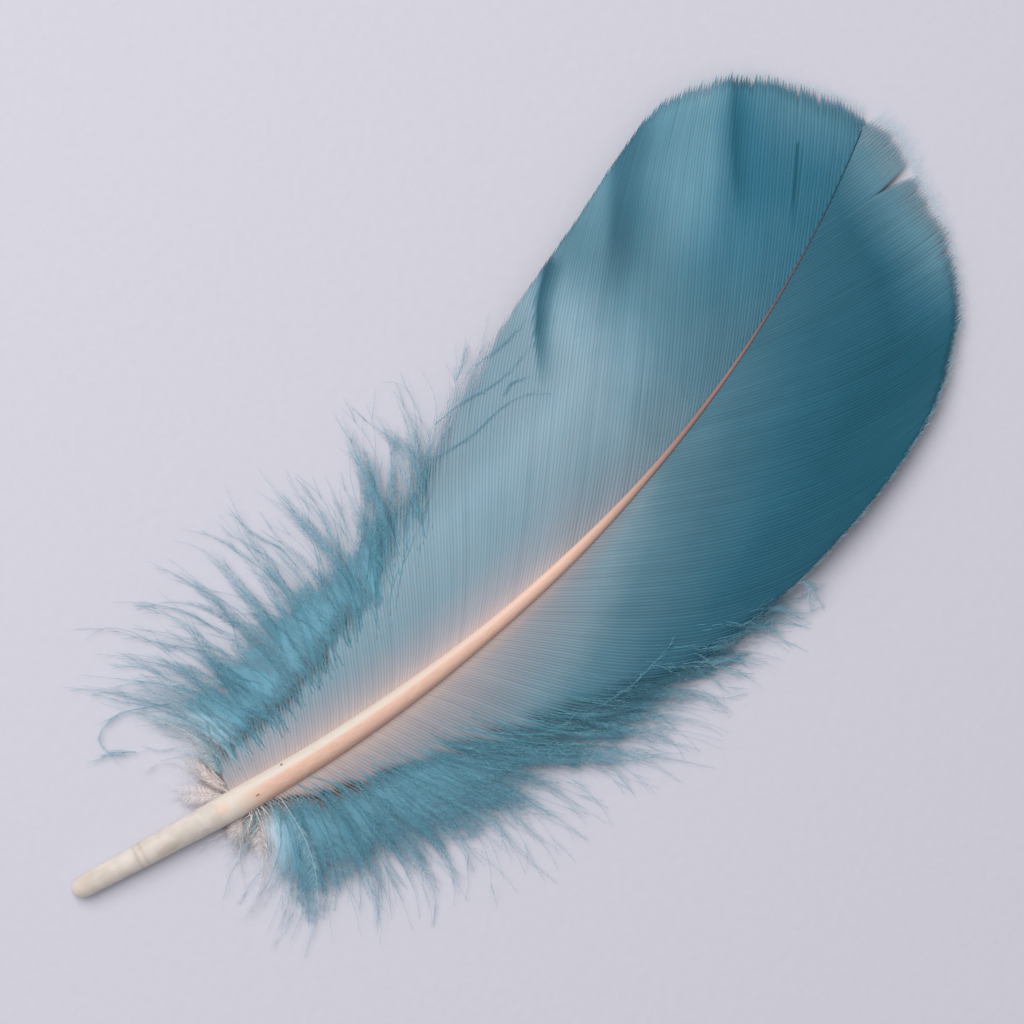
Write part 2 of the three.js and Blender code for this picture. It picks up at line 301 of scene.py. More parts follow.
def flat_row(rows, kind=np.float32):
    """Arrays one after the other, as one row of numbers."""
    return np.concatenate([part.ravel() for part in rows]).astype(kind)


class Heap:
    """Many small closed bodies gathered into one mesh, with named values at their points."""

    def __init__(self):
        self.points, self.faces, self.maps, self.values, self.count = [], [], [], {}, 0

    def add(self, points, faces, maps, values):
        self.points.append(points)
        self.faces += [f + self.count for f in faces]
        self.maps += maps
        for key, value in values.items():
            self.values.setdefault(key, []).append(value)
        self.count += len(points)

    def mesh(self, name):
        points = place(np.concatenate(self.points))
        loops = flat_row(self.faces, np.int32)
        sizes = flat_row([np.full(len(f), f.shape[1]) for f in self.faces], np.int32)
        mesh = bpy.data.meshes.new(name)
        mesh.vertices.add(len(points))
        mesh.vertices.foreach_set("co", flat_row([points]))
        mesh.loops.add(len(loops))
        mesh.loops.foreach_set("vertex_index", loops)
        mesh.polygons.add(len(sizes))
        mesh.polygons.foreach_set("loop_start", (np.cumsum(sizes) - sizes).astype(np.int32))
        mesh.update(calc_edges=True)
        mesh.polygons.foreach_set("use_smooth", np.ones(len(sizes), bool))
        flat = mesh.uv_layers.new(name="OFBake")
        flat.data.foreach_set("uv", flat_row(self.maps))
        for key, value in self.values.items():
            layer = mesh.attributes.new(key, "FLOAT_VECTOR", "POINT")
            layer.data.foreach_set("vector", flat_row(value))
        mesh.validate()
        return mesh


def strips(rings, cells, values, pointed=False):
    """Closed strips from rings of points (strips, rings, corners, 3). cells gives each strip's
    place on the flat map: low u, low v, width, height. values are (strips, rings, corners, 3).
    A pointed strip's last ring is drawn to one point."""
    n, m, k, _ = rings.shape
    ids = np.arange(n * m * k).reshape(n, m, k)
    turned_ids = np.roll(ids, -1, axis=2)
    low_u, low_v, wide, high = (cells[:, i, None, None] for i in range(4))
    u = low_u + wide * np.arange(k + 1)[None, None, :] / k
    v = low_v + high * np.arange(m)[None, :, None] / max(m - 1, 1)
    u, v = np.broadcast_to(u, (n, m, k + 1)), np.broadcast_to(v, (n, m, k + 1))
    spot = np.stack([u, v], axis=-1)
    last = m - 1 if not pointed else m - 2
    near, far = slice(0, last), slice(1, last + 1)
    walls = [ids[:, near], turned_ids[:, near], turned_ids[:, far], ids[:, far]]
    faces = [np.stack(walls, axis=-1).reshape(-1, 4), ids[:, 0, ::-1]]
    walls = [spot[:, near, :-1], spot[:, near, 1:], spot[:, far, 1:], spot[:, far, :-1]]
    maps = [np.stack(walls, axis=-2).reshape(-1, 4, 2), spot[:, 0, :-1][:, ::-1]]
    if pointed:
        tip = np.broadcast_to(ids[:, -1, :1], (n, k))
        faces.append(np.stack([ids[:, -2], turned_ids[:, -2], tip], axis=-1).reshape(-1, 3))
        walls = [spot[:, -2, :-1], spot[:, -2, 1:], spot[:, -1, :-1]]
        maps.append(np.stack(walls, axis=-2).reshape(-1, 3, 2))
    else:
        faces.append(ids[:, -1])
        maps.append(spot[:, -1, :-1])
    points = rings.reshape(-1, 3)
    flat = {key: np.broadcast_to(value, rings.shape).reshape(-1, 3) for key, value in values.items()}
    if pointed:  # the unused corners of the last rings are dropped
        keep = np.ones((n, m, k), bool)
        keep[:, -1, 1:] = False
        renumber = np.cumsum(keep.ravel()) - 1
        faces = [renumber[f] for f in faces]
        points = points[keep.ravel()]
        flat = {key: value[keep.ravel()] for key, value in flat.items()}
    return points, faces, maps, flat


def grid_cells(count, first=0, total=None):
    """Places on the flat map for a number of strips, in a square grid."""
    total = total or count
    side = math.ceil(math.sqrt(total))
    spots = np.arange(first, first + count)
    gap = 0.08 / side
    size = np.full(count, 1 / side - 2 * gap)
    return np.stack([(spots % side) / side + gap, (spots // side) / side + gap, size, size], axis=1)


def unit(v):
    return v / np.maximum(np.linalg.norm(v, axis=-1, keepdims=True), 1e-9)


def headings(points):
    """Forward, left and up at each point of rows of points (rows, points, 3)."""
    ahead = unit(np.gradient(points, axis=1))
    left = unit(np.cross(np.array([0.0, 0.0, 1.0]), ahead))
    return ahead, left, np.cross(ahead, left)


def distance_along(points):
    """How far along its row each point of rows of points lies."""
    step = np.linalg.norm(np.diff(points, axis=1), axis=2)
    return np.concatenate([np.zeros((len(points), 1)), np.cumsum(step, axis=1)], axis=1)


ACROSS = np.array([1.0, 0.0, -1.0, 0.0])  # where the corners of a flat strip's ring lie


def at_corners(shape, *parts):
    """Three values at each corner of rings, from ones for each strip, ring or corner."""
    parts = (np.reshape(p, np.shape(p) + (1,) * (3 - np.ndim(p))) for p in parts)
    return np.stack([np.broadcast_to(p, shape) for p in parts], axis=-1)


def tubes(points, radii, sides=3):
    """Rings of a round thin strand along rows of points."""
    _, left, up = headings(points)
    turn = 2 * np.pi * np.arange(sides) / sides
    across = np.cos(turn)[None, None, :, None] * left[:, :, None]
    over = np.sin(turn)[None, None, :, None] * up[:, :, None]
    return points[:, :, None] + radii[:, :, None, None] * (across + over)


def finish_piece(name, mesh, material):
    piece = bpy.data.objects.new(name, mesh)
    bpy.context.scene.collection.objects.link(piece)
    mesh.materials.append(material)
    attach(piece, "root")
    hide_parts("feather")
    return piece


# ---- shader maths

class Wire:
    """A socket with arithmetic, so that shader maths is written as an expression."""

    def __init__(self, tree, socket):
        self.tree, self.socket = tree, socket

    @classmethod
    def node(cls, tree, kind, settings=None, inputs=None, output=0):
        made = tree.nodes.new(kind)
        for key, value in (settings or {}).items():
            if key == "stops":
                ramp = made.color_ramp
                while len(ramp.elements) < len(value):
                    ramp.elements.new(0.5)
                for element, (position, colour) in zip(ramp.elements, value):
                    element.position, element.color = position, (*colour, 1)
            else:
                setattr(made, key, value)
        for key, value in (inputs or {}).items():
            if isinstance(value, Wire):
                tree.links.new(value.socket, made.inputs[key])
            else:
                made.inputs[key].default_value = value
        return cls(tree, made.outputs[output])

    def math(self, operation, *others):
        values = dict(enumerate((self, *others)))
        return Wire.node(self.tree, "ShaderNodeMath", {"operation": operation}, values)

    def __add__(self, other):
        return self.math("ADD", other)

    __radd__ = __add__

    def __mul__(self, other):
        return self.math("MULTIPLY", other)

    __rmul__ = __mul__

    def __sub__(self, other):
        return self.math("SUBTRACT", other)

    def __rsub__(self, other):
        return self.math("MULTIPLY_ADD", -1.0, other)

    def __truediv__(self, other):
        return self.math("DIVIDE", other)

    def __pow__(self, other):
        return self.math("POWER", other)

    def smooth(self, low, high):
        settings = {"interpolation_type": "SMOOTHSTEP"}
        return Wire.node(self.tree, "ShaderNodeMapRange", settings, {0: self, 1: low, 2: high})

    def mix(self, off, on):
        """Colour off where this is 0, and on where it is 1."""
        off, on = ((*c, 1) if isinstance(c, tuple) else c for c in (off, on))
        return Wire.node(self.tree, "ShaderNodeMix", {"data_type": "RGBA"}, {0: self, 6: off, 7: on}, 2)

    def parts(self):
        return [Wire.node(self.tree, "ShaderNodeSeparateXYZ", None, {0: self}, i) for i in range(3)]


class Finish:
    """One material: its tree, its shader, and the values that the points carry."""

    def __init__(self, name, **sockets):
        self.material = bpy.data.materials.new(name)
        self.material.use_nodes = True
        self.tree = self.material.node_tree
        self.shader = next(n for n in self.tree.nodes if n.type == "BSDF_PRINCIPLED")
        for key, value in sockets.items():
            self.shader.inputs[key.replace("_", " ")].default_value = value

    def value(self, name):
        """The three values that the points carry under a name."""
        settings = {"attribute_type": "GEOMETRY", "attribute_name": name}
        return Wire.node(self.tree, "ShaderNodeAttribute", settings, None, 1).parts()

    def join(self, **wires):
        for key, wire in wires.items():
            self.tree.links.new(wire.socket, self.shader.inputs[key.replace("_", " ")])

    def noise(self, vector, scale, detail=2.0, roughness=0.5):
        inputs = {"Vector": vector, "Scale": scale, "Detail": detail, "Roughness": roughness}
        return Wire.node(self.tree, "ShaderNodeTexNoise", None, inputs, 0)

    def vector(self, x, y, z=0.0):
        return Wire.node(self.tree, "ShaderNodeCombineXYZ", None, {0: x, 1: y, 2: z})

    def shade(self, colour, amount):
        """A colour made lighter or darker by an amount."""
        grey = Wire.node(self.tree, "ShaderNodeCombineColor", None, {0: amount, 1: amount, 2: amount})
        settings = {"data_type": "RGBA", "blend_type": "MULTIPLY"}
        return Wire.node(self.tree, "ShaderNodeMix", settings, {0: 1.0, 6: colour, 7: grey}, 2)

    def ramp(self, value, stops):
        return Wire.node(self.tree, "ShaderNodeValToRGB", {"stops": stops}, {0: value})

    def bump(self, height, distance, strength=1.0):
        inputs = {"Strength": strength, "Distance": distance, "Height": height}
        return Wire.node(self.tree, "ShaderNodeBump", None, inputs)

    def place(self):
        return Wire.node(self.tree, "ShaderNodeTexCoord", None, None, 3)


def paint(red, green, blue, lost=1.0):
    """The colour of a surface that shows as these values of 255 under the window light. Where part
    of the light is lost, as between barbs, the surface is that much paler."""
    shown = (np.array([red, green, blue]) / 255) ** 2.2
    return tuple(float(c) for c in np.clip(shown / (LIGHT_BACK * lost), 0, 1))


LIGHT_BACK = 0.88
BETWEEN_BARBS = 0.93  # light that comes back from between the barbs
DYE = [  # how the vane looks as the dye deepens
    (0.0, paint(176, 160, 156, BETWEEN_BARBS)),
    (0.2, paint(150, 148, 154, BETWEEN_BARBS)),
    (0.35, paint(130, 141, 151, BETWEEN_BARBS)),
    (0.48, paint(114, 140, 153, BETWEEN_BARBS)),
    (0.6, paint(82, 120, 135, BETWEEN_BARBS)),
    (0.75, paint(61, 103, 120, BETWEEN_BARBS)),
    (0.88, paint(40, 90, 109, BETWEEN_BARBS)),
    (1.0, paint(25, 79, 96, BETWEEN_BARBS)),
]


def vane_finish(name):
    """Dyed barbs, each with a paler stem along its middle and fine grain across it, made lighter or darker
    by the painted light and shade that their points carry.
    """
    look = Finish(name, Roughness=0.62, Specular_IOR_Level=0.25)
    # tone holds the dye's depth, the painted light and shade, and how thin the barbs are
    dye, light, thin = look.value("tone")
    share, across, chance = look.value("barb")
    streak = look.noise(look.vector(chance * 90, share * 5), 1.0, 3.0, 0.6)
    cloud = look.noise(look.place(), 130.0, 3.0, 0.55)
    grain = look.noise(look.vector(chance * 90, share * 700, across * 3), 1.0, 2.0)
    colour = look.ramp(dye + (cloud - 0.5) * 0.10 + (streak - 0.5) * 0.06, DYE)
    stem = 1 - (across * across).smooth(0.03, 0.45)
    amount = light * (0.87 + stem * 0.22 + (chance - 0.5) * 0.08 + (grain - 0.5) * 0.12)
    look.join(Base_Color=look.shade(colour, amount), Alpha=1 - thin * (1 - stem * 0.35),
              Normal=look.bump(grain + stem, 0.00004, 0.5))
    return look.material


def down_finish(name):
    """Soft barbs whose dye runs from undyed cream through pale hairs to teal stems."""
    look = Finish(name, Roughness=0.7, Specular_IOR_Level=0.12)
    dye, _, chance = look.value("dye")
    grain = look.noise(look.place(), 900.0, 2.0)
    colour = look.ramp(dye + (grain - 0.5) * 0.08, [
        (0.0, (0.99, 0.93, 0.90)), (0.25, (0.95, 0.92, 0.93)), (0.5, (0.55, 0.87, 0.97)),
        (0.75, (0.36, 0.73, 0.86)), (0.9, (0.17, 0.49, 0.61)), (1.0, (0.10, 0.35, 0.47))])
    look.join(Base_Color=look.shade(colour, 0.9 + chance * 0.14 + (grain - 0.5) * 0.08))
    return look.material


def barbule_finish(name, colours):
    """Barbules too fine to see one by one: slanting streaks on both sides of a strand."""
    look = Finish(name, Roughness=0.8, Specular_IOR_Level=0.05)
    dye, _, chance = look.value("dye")
    along, across, strength = look.value("haze")
    aside = across.math("ABSOLUTE")
    slant = look.vector((along - aside * BARBULE_SLANT) * 3.2, across * 1.3 + chance * 60)
    streak = look.noise(slant, 1.0, 3.0, 0.6)
    cloud = look.noise(look.place(), 260.0, 2.0)
    soft = 1 - (aside * aside).smooth(0.1, 1.0)
    alpha = strength * soft * (streak + cloud * 0.35).smooth(0.48, 0.92)
    look.join(Base_Color=look.shade(look.ramp(dye, colours), 0.92 + chance * 0.12), Alpha=alpha)
    return look.material


def bed_finish(name, colours):
    """A bed of barbules: soft streaks that run out with the strands and thin out to nothing."""
    look = Finish(name, Roughness=0.85, Specular_IOR_Level=0.05)
    dye, _, _ = look.value("dye")
    along, root, strength = look.value("haze")
    streak = look.noise(look.vector(root * 0.55, along * 0.16), 1.0, 4.0, 0.6)
    fine = look.noise(look.vector(root * 3.0 + along * 0.8, along * 0.3), 1.0, 3.0, 0.6)
    amount = strength * 1.5 + (streak - 0.5) * 1.8 + (fine - 0.5) * 0.9 - 0.45
    alpha = amount.smooth(0.0, 1.0) * strength.smooth(0.0, 0.25)
    colour = look.ramp(dye + (streak - 0.5) * 0.16 + (fine - 0.5) * 0.22, colours)
    look.join(Base_Color=look.shade(colour, 0.94 + fine * 0.12), Alpha=alpha)
    return look.material


# ---- quill and shaft

RINGS_AT = (10.2, 11.3)  # two low ridges round the quill
QUILL_JOIN = 24.4        # beyond it the horn is opaque
POINT_ROUND = 1.9        # length of the quill's rounded point


def shaft_piece():
    """The bare quill and the shaft that it runs on into, drawn out of one round section."""
    sides, rings = 20, 150
    at = np.concatenate([[0.0, 0.12, 0.4, 0.85, 1.4], np.linspace(2.0, SHAFT_END, rings)])
    point, _, left = station(at)
    half, height = shaft_half_width(at), shaft_height(at)
    rounding = np.sqrt(np.clip(1 - np.clip(1 - at / POINT_ROUND, 0, 1) ** 2, 0.02, 1))
    ridge = sum(0.06 * np.exp(-(((at - ring) / 0.3) ** 2)) for ring in RINGS_AT)
    half = half * rounding + ridge
    shaft = bmesh.new()
    layer = shaft.verts.layers.float_vector.new("lie")
    ring = bmesh.ops.create_circle(shaft, cap_ends=True, segments=sides, radius=1.0)["verts"]
    circle = [v.co.copy() for v in ring]
    edges = list({e for v in ring for e in v.link_edges})
    for i in range(len(at)):
        if i:
            out = bmesh.ops.extrude_edge_only(shaft, edges=edges)["geom"]
            ring = [g for g in out if isinstance(g, bmesh.types.BMVert)]
            edges = [g for g in out if isinstance(g, bmesh.types.BMEdge)]
        side = Vector((*left[i], 0))
        centre = Vector((*point[i], height[i]))
        for v, spot in zip(ring, circle):
            v.co = centre + side * (spot.x * half[i]) + Vector((0, 0, spot.y * half[i]))
            v[layer] = (at[i], spot.x, spot.y)
    bmesh.ops.contextual_create(shaft, geom=edges)
    bmesh.ops.transform(shaft, verts=shaft.verts, matrix=Matrix.Scale(MM, 4)
                        @ Matrix.Translation((*PLAN_ORIGIN, 0)))
    bmesh.ops.recalc_face_normals(shaft, faces=shaft.faces)
    mesh = bpy.data.meshes.new("shaft")
    shaft.to_mesh(mesh)
    shaft.free()
    for face in mesh.polygons:
        face.use_smooth = True
    return finish_piece("shaft", mesh, shaft_finish())


def shaft_finish():
    """Horn: cloudy on the quill, cream and peach along the vanes, brown where it thins out, with a painted
    highlight along its left side and painted shade along its right.
    """
    look = Finish("horn", Roughness=0.52, Specular_IOR_Level=0.22, Coat_Weight=0.05,
                  Coat_Roughness=0.4, Subsurface_Weight=0.12, Subsurface_Scale=0.0008)
    along, across, up = look.value("lie")
    fibres = look.noise(look.vector(along * 0.6, across * 9, up * 9), 1.0, 3.0, 0.6)
    cloud = look.noise(look.place(), 420.0, 4.0, 0.6)
    patch = look.noise(look.place(), 160.0, 2.0, 0.5)
    quill = cloud.smooth(0.3, 0.7).mix(paint(196, 187, 176), paint(212, 203, 196))
    quill = (patch.smooth(0.45, 0.7) * 0.6).mix(quill, paint(206, 192, 180))
    # cream: the horn's own colour by the quill, and a painted highlight in the strip along the shaft's
    # left side
    cream_and_highlight = fibres.smooth(0.3, 0.7).mix(paint(218, 208, 198), paint(210, 198, 184))
    peach = fibres.smooth(0.25, 0.75).mix(paint(212, 172, 154), paint(220, 184, 164))
    # painted shade along the shaft's right side
    shaded_tan = paint(204, 166, 148)
    # strip is the shaft's left side, where the highlight is painted; from 40 to 88 mm on it turns to a
    # paler peach
    strip = across.smooth(0.18, 0.5)
    lit = strip.mix(across.smooth(-0.9, -0.35).mix(shaded_tan, peach), cream_and_highlight)
    lit = along.smooth(40, 88).mix(lit, strip.mix(peach, paint(226, 190, 172)))
    shaft = along.smooth(25.0, 33.0).mix(cream_and_highlight, lit)
    colour = along.smooth(QUILL_JOIN - 0.8, QUILL_JOIN + 0.5).mix(quill, shaft)
    colour = along.smooth(80, 116).mix(colour, paint(144, 114, 110))
    colour = along.smooth(118, 138).mix(colour, paint(92, 86, 92))
    colour = along.smooth(134, 152).mix(colour, paint(40, 78, 94))
    for where, offset, long, wide, strength, mark in SHAFT_MARKS:
        away = ((along - where) / long) ** 2.0 + ((across - offset) / wide) ** 2.0
        colour = ((1 - away.smooth(0.2, 1.0)) * strength).mix(colour, mark)
    for ring in RINGS_AT:
        near = 1 - ((along - ring - 0.45) ** 2.0).smooth(0.0, 0.12)
        colour = (near * 0.25).mix(colour, paint(150, 140, 128))
    look.join(Base_Color=look.shade(colour, 0.94 + fibres * 0.12),
              Normal=look.bump(fibres + cloud * 0.5, 0.00006, 0.4))
    return look.material


# Small marks on the horn: distance along, place across, length, width, strength and colour.
SHAFT_MARKS = [
    (24.6, 0.1, 1.4, 0.5, 0.35, paint(226, 180, 150)),
    (30.1, -0.22, 0.45, 0.09, 0.8, paint(150, 100, 72)),
    (35.2, 0.8, 0.3, 0.12, 0.7, paint(110, 96, 92)),
    (4.0, 0.3, 3.0, 0.6, 0.4, paint(178, 170, 152)),
    (15.5, -0.5, 2.6, 0.4, 0.4, paint(176, 164, 146)),
]


# ---- vanes

BARB_STEPS = 44
BARB_RIDGE = 0.03   # how far a barb's middle stands over its sides
BARB_DEPTH = 0.14
BARB_OVERLAP = 0.8  # half of a barb's width, in spaces between barbs
BARB_END = 2.4      # length over which a barb comes to a point, in millimetres

# The share of each barb at which the down begins, by its root; from 1 on there is none.
DOWN_BEGINS = {
    1: [(26, 0.42), (29, 0.48), (33, 0.58), (38, 0.64), (56, 0.64), (63, 0.74), (68, 0.88),
        (71, 1.04), (76, 1.2), (170, 1.3)],
    -1: [(26, 0.1), (29, 0.2), (36, 0.42), (44, 0.48), (54, 0.52), (62, 0.62), (70, 0.82),
         (76, 1.04), (80, 1.2), (170, 1.3)],
}
DOWN_JAG = 0.07     # how far the start of the down steps to and fro
SMALL_SPLITS = 26


def barb_roots(side):
    """Roots along the shaft, placed so that barbs lie evenly apart halfway along them."""
    roots, at = [], VANE_START
    while at < VANE_END:
        pair, _ = barb_points(side, np.array([at, at + 0.2]), [0.5, 0.52])
        ahead, onward = unit(pair[0, 1] - pair[0, 0]), pair[1, 0] - pair[0, 0]
        spread = np.linalg.norm(np.cross(ahead, onward)) / 0.2
        gap = max(BARB_SPACING[side] / spread, CLOSEST_ROOTS)
        roots.append(at + gap * CHANCE.uniform(-0.05, 0.05))
        at += gap
    return np.array(roots)


def group_values(count, low, high):
    """A chance value from -1 to 1 for each of a row, shared by groups of neighbours."""
    groups = np.repeat(np.arange(count), CHANCE.integers(low, high, count))[:count]
    return CHANCE.uniform(-1, 1, count)[groups], groups


def down_begins(side, roots):
    jag, _ = group_values(len(roots), 2, 6)
    level = between(DOWN_BEGINS[side], roots)[:, 0]
    return level + DOWN_JAG * jag + CHANCE.normal(0, 0.02, len(roots))


ROOTS = {side: barb_roots(side) for side in (1, -1)}
DOWN_FROM = {side: down_begins(side, ROOTS[side]) for side in (1, -1)}


def dye_depth(side, along, off, past_fold):
    """How deep the dye lies on a vane, from 0 undyed to 1."""
    by_shaft = 0.26 * (1 - smooth(0.8, 3.4, off)) * (1 - smooth(72, 112, along))
    if side > 0:
        depth = 0.47 + 0.40 * smooth(98, 148, along) - 0.16 * smooth(150, 163, along)
        near = blend(0.42, 0.28, smooth(40, 80, along)) * (1 - smooth(70, 112, along))
        depth = depth - near * (1 - smooth(0.5, 9, off))
        pale_edge = 0.05 * smooth(100, 112, along) + 0.20 * smooth(120, 142, along)
        pale_edge = pale_edge * smooth(9, 19, off) * (1 - past_fold * smooth(124, 136, along))
        return depth - pale_edge - by_shaft * 0.6
    near = 0.03 + 0.84 * smooth(42, 145, along)
    far = 0.70 + 0.30 * smooth(65, 125, along)
    return near + (far - near) * np.clip((off - 2) / 17, 0, 1) ** 0.9 - by_shaft


def light_on(side, along, off):
    """Painted light and shade on a vane: how much lighter or darker it looks than its dye alone."""
    if side > 0:
        # Painted shade beside the shaft on the left vane, around 104 mm along it.
        by_shaft = 0.16 * np.exp(-(((along - 104) / 15) ** 2)) * (1 - smooth(3, 10, off))
        # Painted sheen: the left vane lighter towards its edge, short of the tip.
        out = 0.20 * smooth(7, 20, off) * (1 - smooth(110, 126, along))
        return 1 + out - by_shaft + 0.30 * smooth(122, 140, along)
    # On the right vane: darker over its inner part, and painted shade beside the shaft.
    inner = (1 - smooth(9, 17, off)) * (1 - smooth(100, 124, along))
    return 1 - 0.13 * inner - 0.12 * (1 - smooth(0.6, 3.5, off)) * (1 - smooth(80, 120, along))


def split_shift(side, roots, share):
    """How far barbs give way, forwards along the shaft, to the splits in their vane."""
    shift = np.zeros(share.shape)
    small = [(side, CHANCE.uniform(88, 160), CHANCE.uniform(0.06, 0.26), CHANCE.uniform(0.72, 0.93),
              1.6) for _ in range(SMALL_SPLITS)]
    for where, root, gap, start, reach in SPLITS + small:
        if where == side:
            away = roots - root
            push = np.sign(away) * np.exp(-np.abs(away) / reach)
            shift += 0.5 * gap * push[:, None] * smooth(start, 1.0, share) ** 1.3
    return shift


def keep_sides_sharp(mesh):
    """Marks both long sides of every strip sharp, so that its upper face is lit as a flat one."""
    ends = np.empty(len(mesh.edges) * 2, np.int32)
    mesh.edges.foreach_get("vertices", ends)
    corners = ends.reshape(-1, 2) % 4
    sharp = (corners[:, 0] == corners[:, 1]) & (corners[:, 0] % 2 == 0)
    mesh.attributes.new("sharp_edge", "BOOLEAN", "EDGE").data.foreach_set("value", sharp)


def vane_piece(side):
    """One vane: a flat pointed strip for each barb, a little over the next one."""
    name = "vane_left" if side > 0 else "vane_right"
    roots, fluff = ROOTS[side], DOWN_FROM[side]
    count = len(roots)
    clump, _ = group_values(count, 2, 7)
    uneven = CHANCE.normal(0, 1, count) + 1.2 * clump
    reach = 1 + uneven * blend(0.003, 0.009, smooth(90, 150, roots))
    share = np.linspace(0, 1, BARB_STEPS)[None, :] ** 0.94 * np.ones((count, 1))
    points, fold_shade = barb_points(side, roots, share * reach[:, None])
    _, left, up = headings(points)
    onward = np.gradient(points, axis=0)
    spacing = np.abs(np.sum(onward * left, axis=-1))
    points = points + unit(onward) * split_shift(side, roots, share)[..., None]
    phase = CHANCE.uniform(0, 2 * np.pi, (2, count, 1))
    wander = 0.03 * np.sin(share * 9 + phase[0]) + 0.012 * np.sin(share * 23 + phase[1])
    points = points + left * (wander * smooth(0, 0.1, share) * smooth(0.1, 0.3, spacing))[..., None]
    worn = smooth(fluff[:, None] - 0.04, fluff[:, None] + 0.2, share)
    left_over = distance_along(points[:, ::-1])[:, ::-1]
    ending = 1 - smooth(0, BARB_END, left_over)
    half = (BARB_OVERLAP * spacing * (1 - 0.93 * ending ** 1.5) * (1 - 0.7 * worn))[..., None]
    top = (BARB_RIDGE * (1 - ending))[..., None]
    rings = np.stack([points + left * half - up * top * 0.5, points + up * top * 0.5,
                      points - left * half - up * top * 0.5, points - up * BARB_DEPTH], axis=2)
    along, off = lie(points[..., :2])
    off = np.abs(off)
    beyond = past(points[..., :2], FOLDS[0][0], 4.5) if side > 0 else 0.0
    # The folds' painted shade deepens the dye and darkens the painted light.
    depth = dye_depth(side, along, off, beyond) + 0.14 * fold_shade
    light = light_on(side, along, off) * (1 - 0.13 * fold_shade)
    fringe_wide = 1 + 1.2 * smooth(112, 150, roots) * (1.8 if side < 0 else 1.0)
    thin = 0.8 * (1 - smooth(0, 2.2 * fringe_wide[:, None], left_over)) + 0.7 * worn
    if side > 0:
        near_tip = smooth(120, 146, roots)[:, None]
        light = light + 0.14 * (1 - smooth(0.5, 5.0, left_over)) * near_tip
        # Painted sheen: a broad soft highlight over the middle of the left vane, about 21 mm out from the
        # shaft.
        light = light + 0.12 * np.exp(-(((along - 100) / 16) ** 2) - ((off - 21) / 7) ** 2)
        loose = smooth(15, 21, off) * smooth(114, 104, along)
        thin = thin + 0.32 * loose
    else:
        worn_tip = np.clip(1 - left_over / 12, 0, 1) * smooth(104, 126, roots)[:, None]
        depth = np.minimum(depth, np.maximum(depth - 0.5 * worn_tip, 0.5))
        light = light + 0.16 * worn_tip
        loose = 0.0
    chance = CHANCE.random(count)
    drift = np.convolve(CHANCE.normal(0, 1, count + 8), np.ones(9) / 9, mode="valid")
    light = light * (1 + 0.05 * drift[:, None])
    shape = rings.shape[:3]
    tone = at_corners(shape, np.clip(depth, 0, 1), light, np.clip(thin, 0, 0.95))
    chance = blend(chance[:, None], 0.5, loose)
    barb = at_corners(shape, share, np.broadcast_to(ACROSS, shape), chance)
    cells = np.stack([np.arange(count) / count, np.full(count, 0.01),
                      np.full(count, 0.9 / count), np.full(count, 0.98)], axis=1)
    heap = Heap()
    heap.add(*strips(rings, cells, {"tone": tone, "barb": barb}))
    mesh = heap.mesh(name)
    keep_sides_sharp(mesh)
    return finish_piece(name, mesh, vane_finish("dyed_" + name))


# ---- down

# Where the down's tips lie on the plan, from the quill's end of the fringe to the far one.
DOWN_TIPS = {
    1: [(22, 11), (20, 20), (31, 23), (40, 25.5), (50, 27), (60, 25.5), (71, 24), (80, 21),
        (90, 19), (100, 17.5)],
    -1: [(18, -9), (13.5, -21), (16, -29), (26, -35.5), (36, -40), (48, -45), (62, -47.5),
         (76, -49), (90, -48), (105, -45)],
}
# Which way the down runs on the plan from its start to its tip, by the barb's root.
DOWN_WAYS = {
    1: [(27, 108), (33, 102), (40, 90), (45, 78), (49, 62), (53, 48), (58, 36), (62, 28)],
    -1: [(27, -150), (32, -128), (36, -108), (42, -88), (50, -66), (58, -53), (66, -44), (75, -38)],
}
DOWN_ROOTS = {1: (27.5, 60.0), -1: (27.5, 75.0)}
TIP_BEND = {1: 20.0, -1: -24.0}    # how far each tip turns from its strand's own direction
LEAST_REACH = {1: 0.35, -1: 0.55}  # the shortest strands, as a share of the way to the tip line
STRANDS_EACH = 2  # strands drawn for each barb of the vane
STRAYS = 0.07     # the share of strands that stray from the others
FAN_FROM = 44.0   # beyond this root the left fringe's strands fan out widely
STRAND_STEPS = 14
STRAND_HANDLE = 0.36
LOWEST_HAIR = 0.12


def along_points(points, share):
    """Points at shares of the way along a smooth line through some points."""
    table = np.array(points, float)
    reach = np.concatenate([[0], np.cumsum(np.linalg.norm(np.diff(table, axis=0), axis=1))])
    return between(np.column_stack([reach / reach[-1], table]), share)


def wavy(line, size):
    """Strands bent a little from side to side, more towards their ends."""
    count, steps, _ = line.shape
    t = np.linspace(0, 1, steps)[None, :]
    phase, pace = CHANCE.uniform(0, 2 * np.pi, (count, 1)), CHANCE.uniform(2.5, 6, (count, 1))
    _, left, _ = headings(line)
    swing = size * t ** 0.8 * np.sin(pace * t + phase) * CHANCE.uniform(0.3, 1.3, (count, 1))
    line = line + left * swing[..., None]
    line[..., 2] = np.maximum(line[..., 2], LOWEST_HAIR)
    return line


def tips_along(side, start, way):
    """Points of the tip line that lie in given directions from the strands' starts."""
    line = along_points(DOWN_TIPS[side], np.linspace(0, 1, 400))
    gap = line[None] - start[:, None, :2]
    angle = np.degrees(np.arctan2(gap[..., 1], gap[..., 0])) - way[:, None]
    return line[np.argmin(np.abs((angle + 180) % 360 - 180), axis=1)]


def swept(start, leave, end, arrive, rise=0.0):
    """Strands from starts to ends. leave and arrive give their directions there, and their
    lengths how far the strands keep them."""
    first, last = start + leave + rise, end - arrive + rise * 0.8
    t = np.linspace(0, 1, STRAND_STEPS)[None, :, None]
    return bezier(*(p[:, None] for p in (start, first, last, end)), t)


def level(plan):
    """Directions on the plan, as ones in space."""
    return np.concatenate([plan, np.zeros((len(plan), 1))], axis=1)


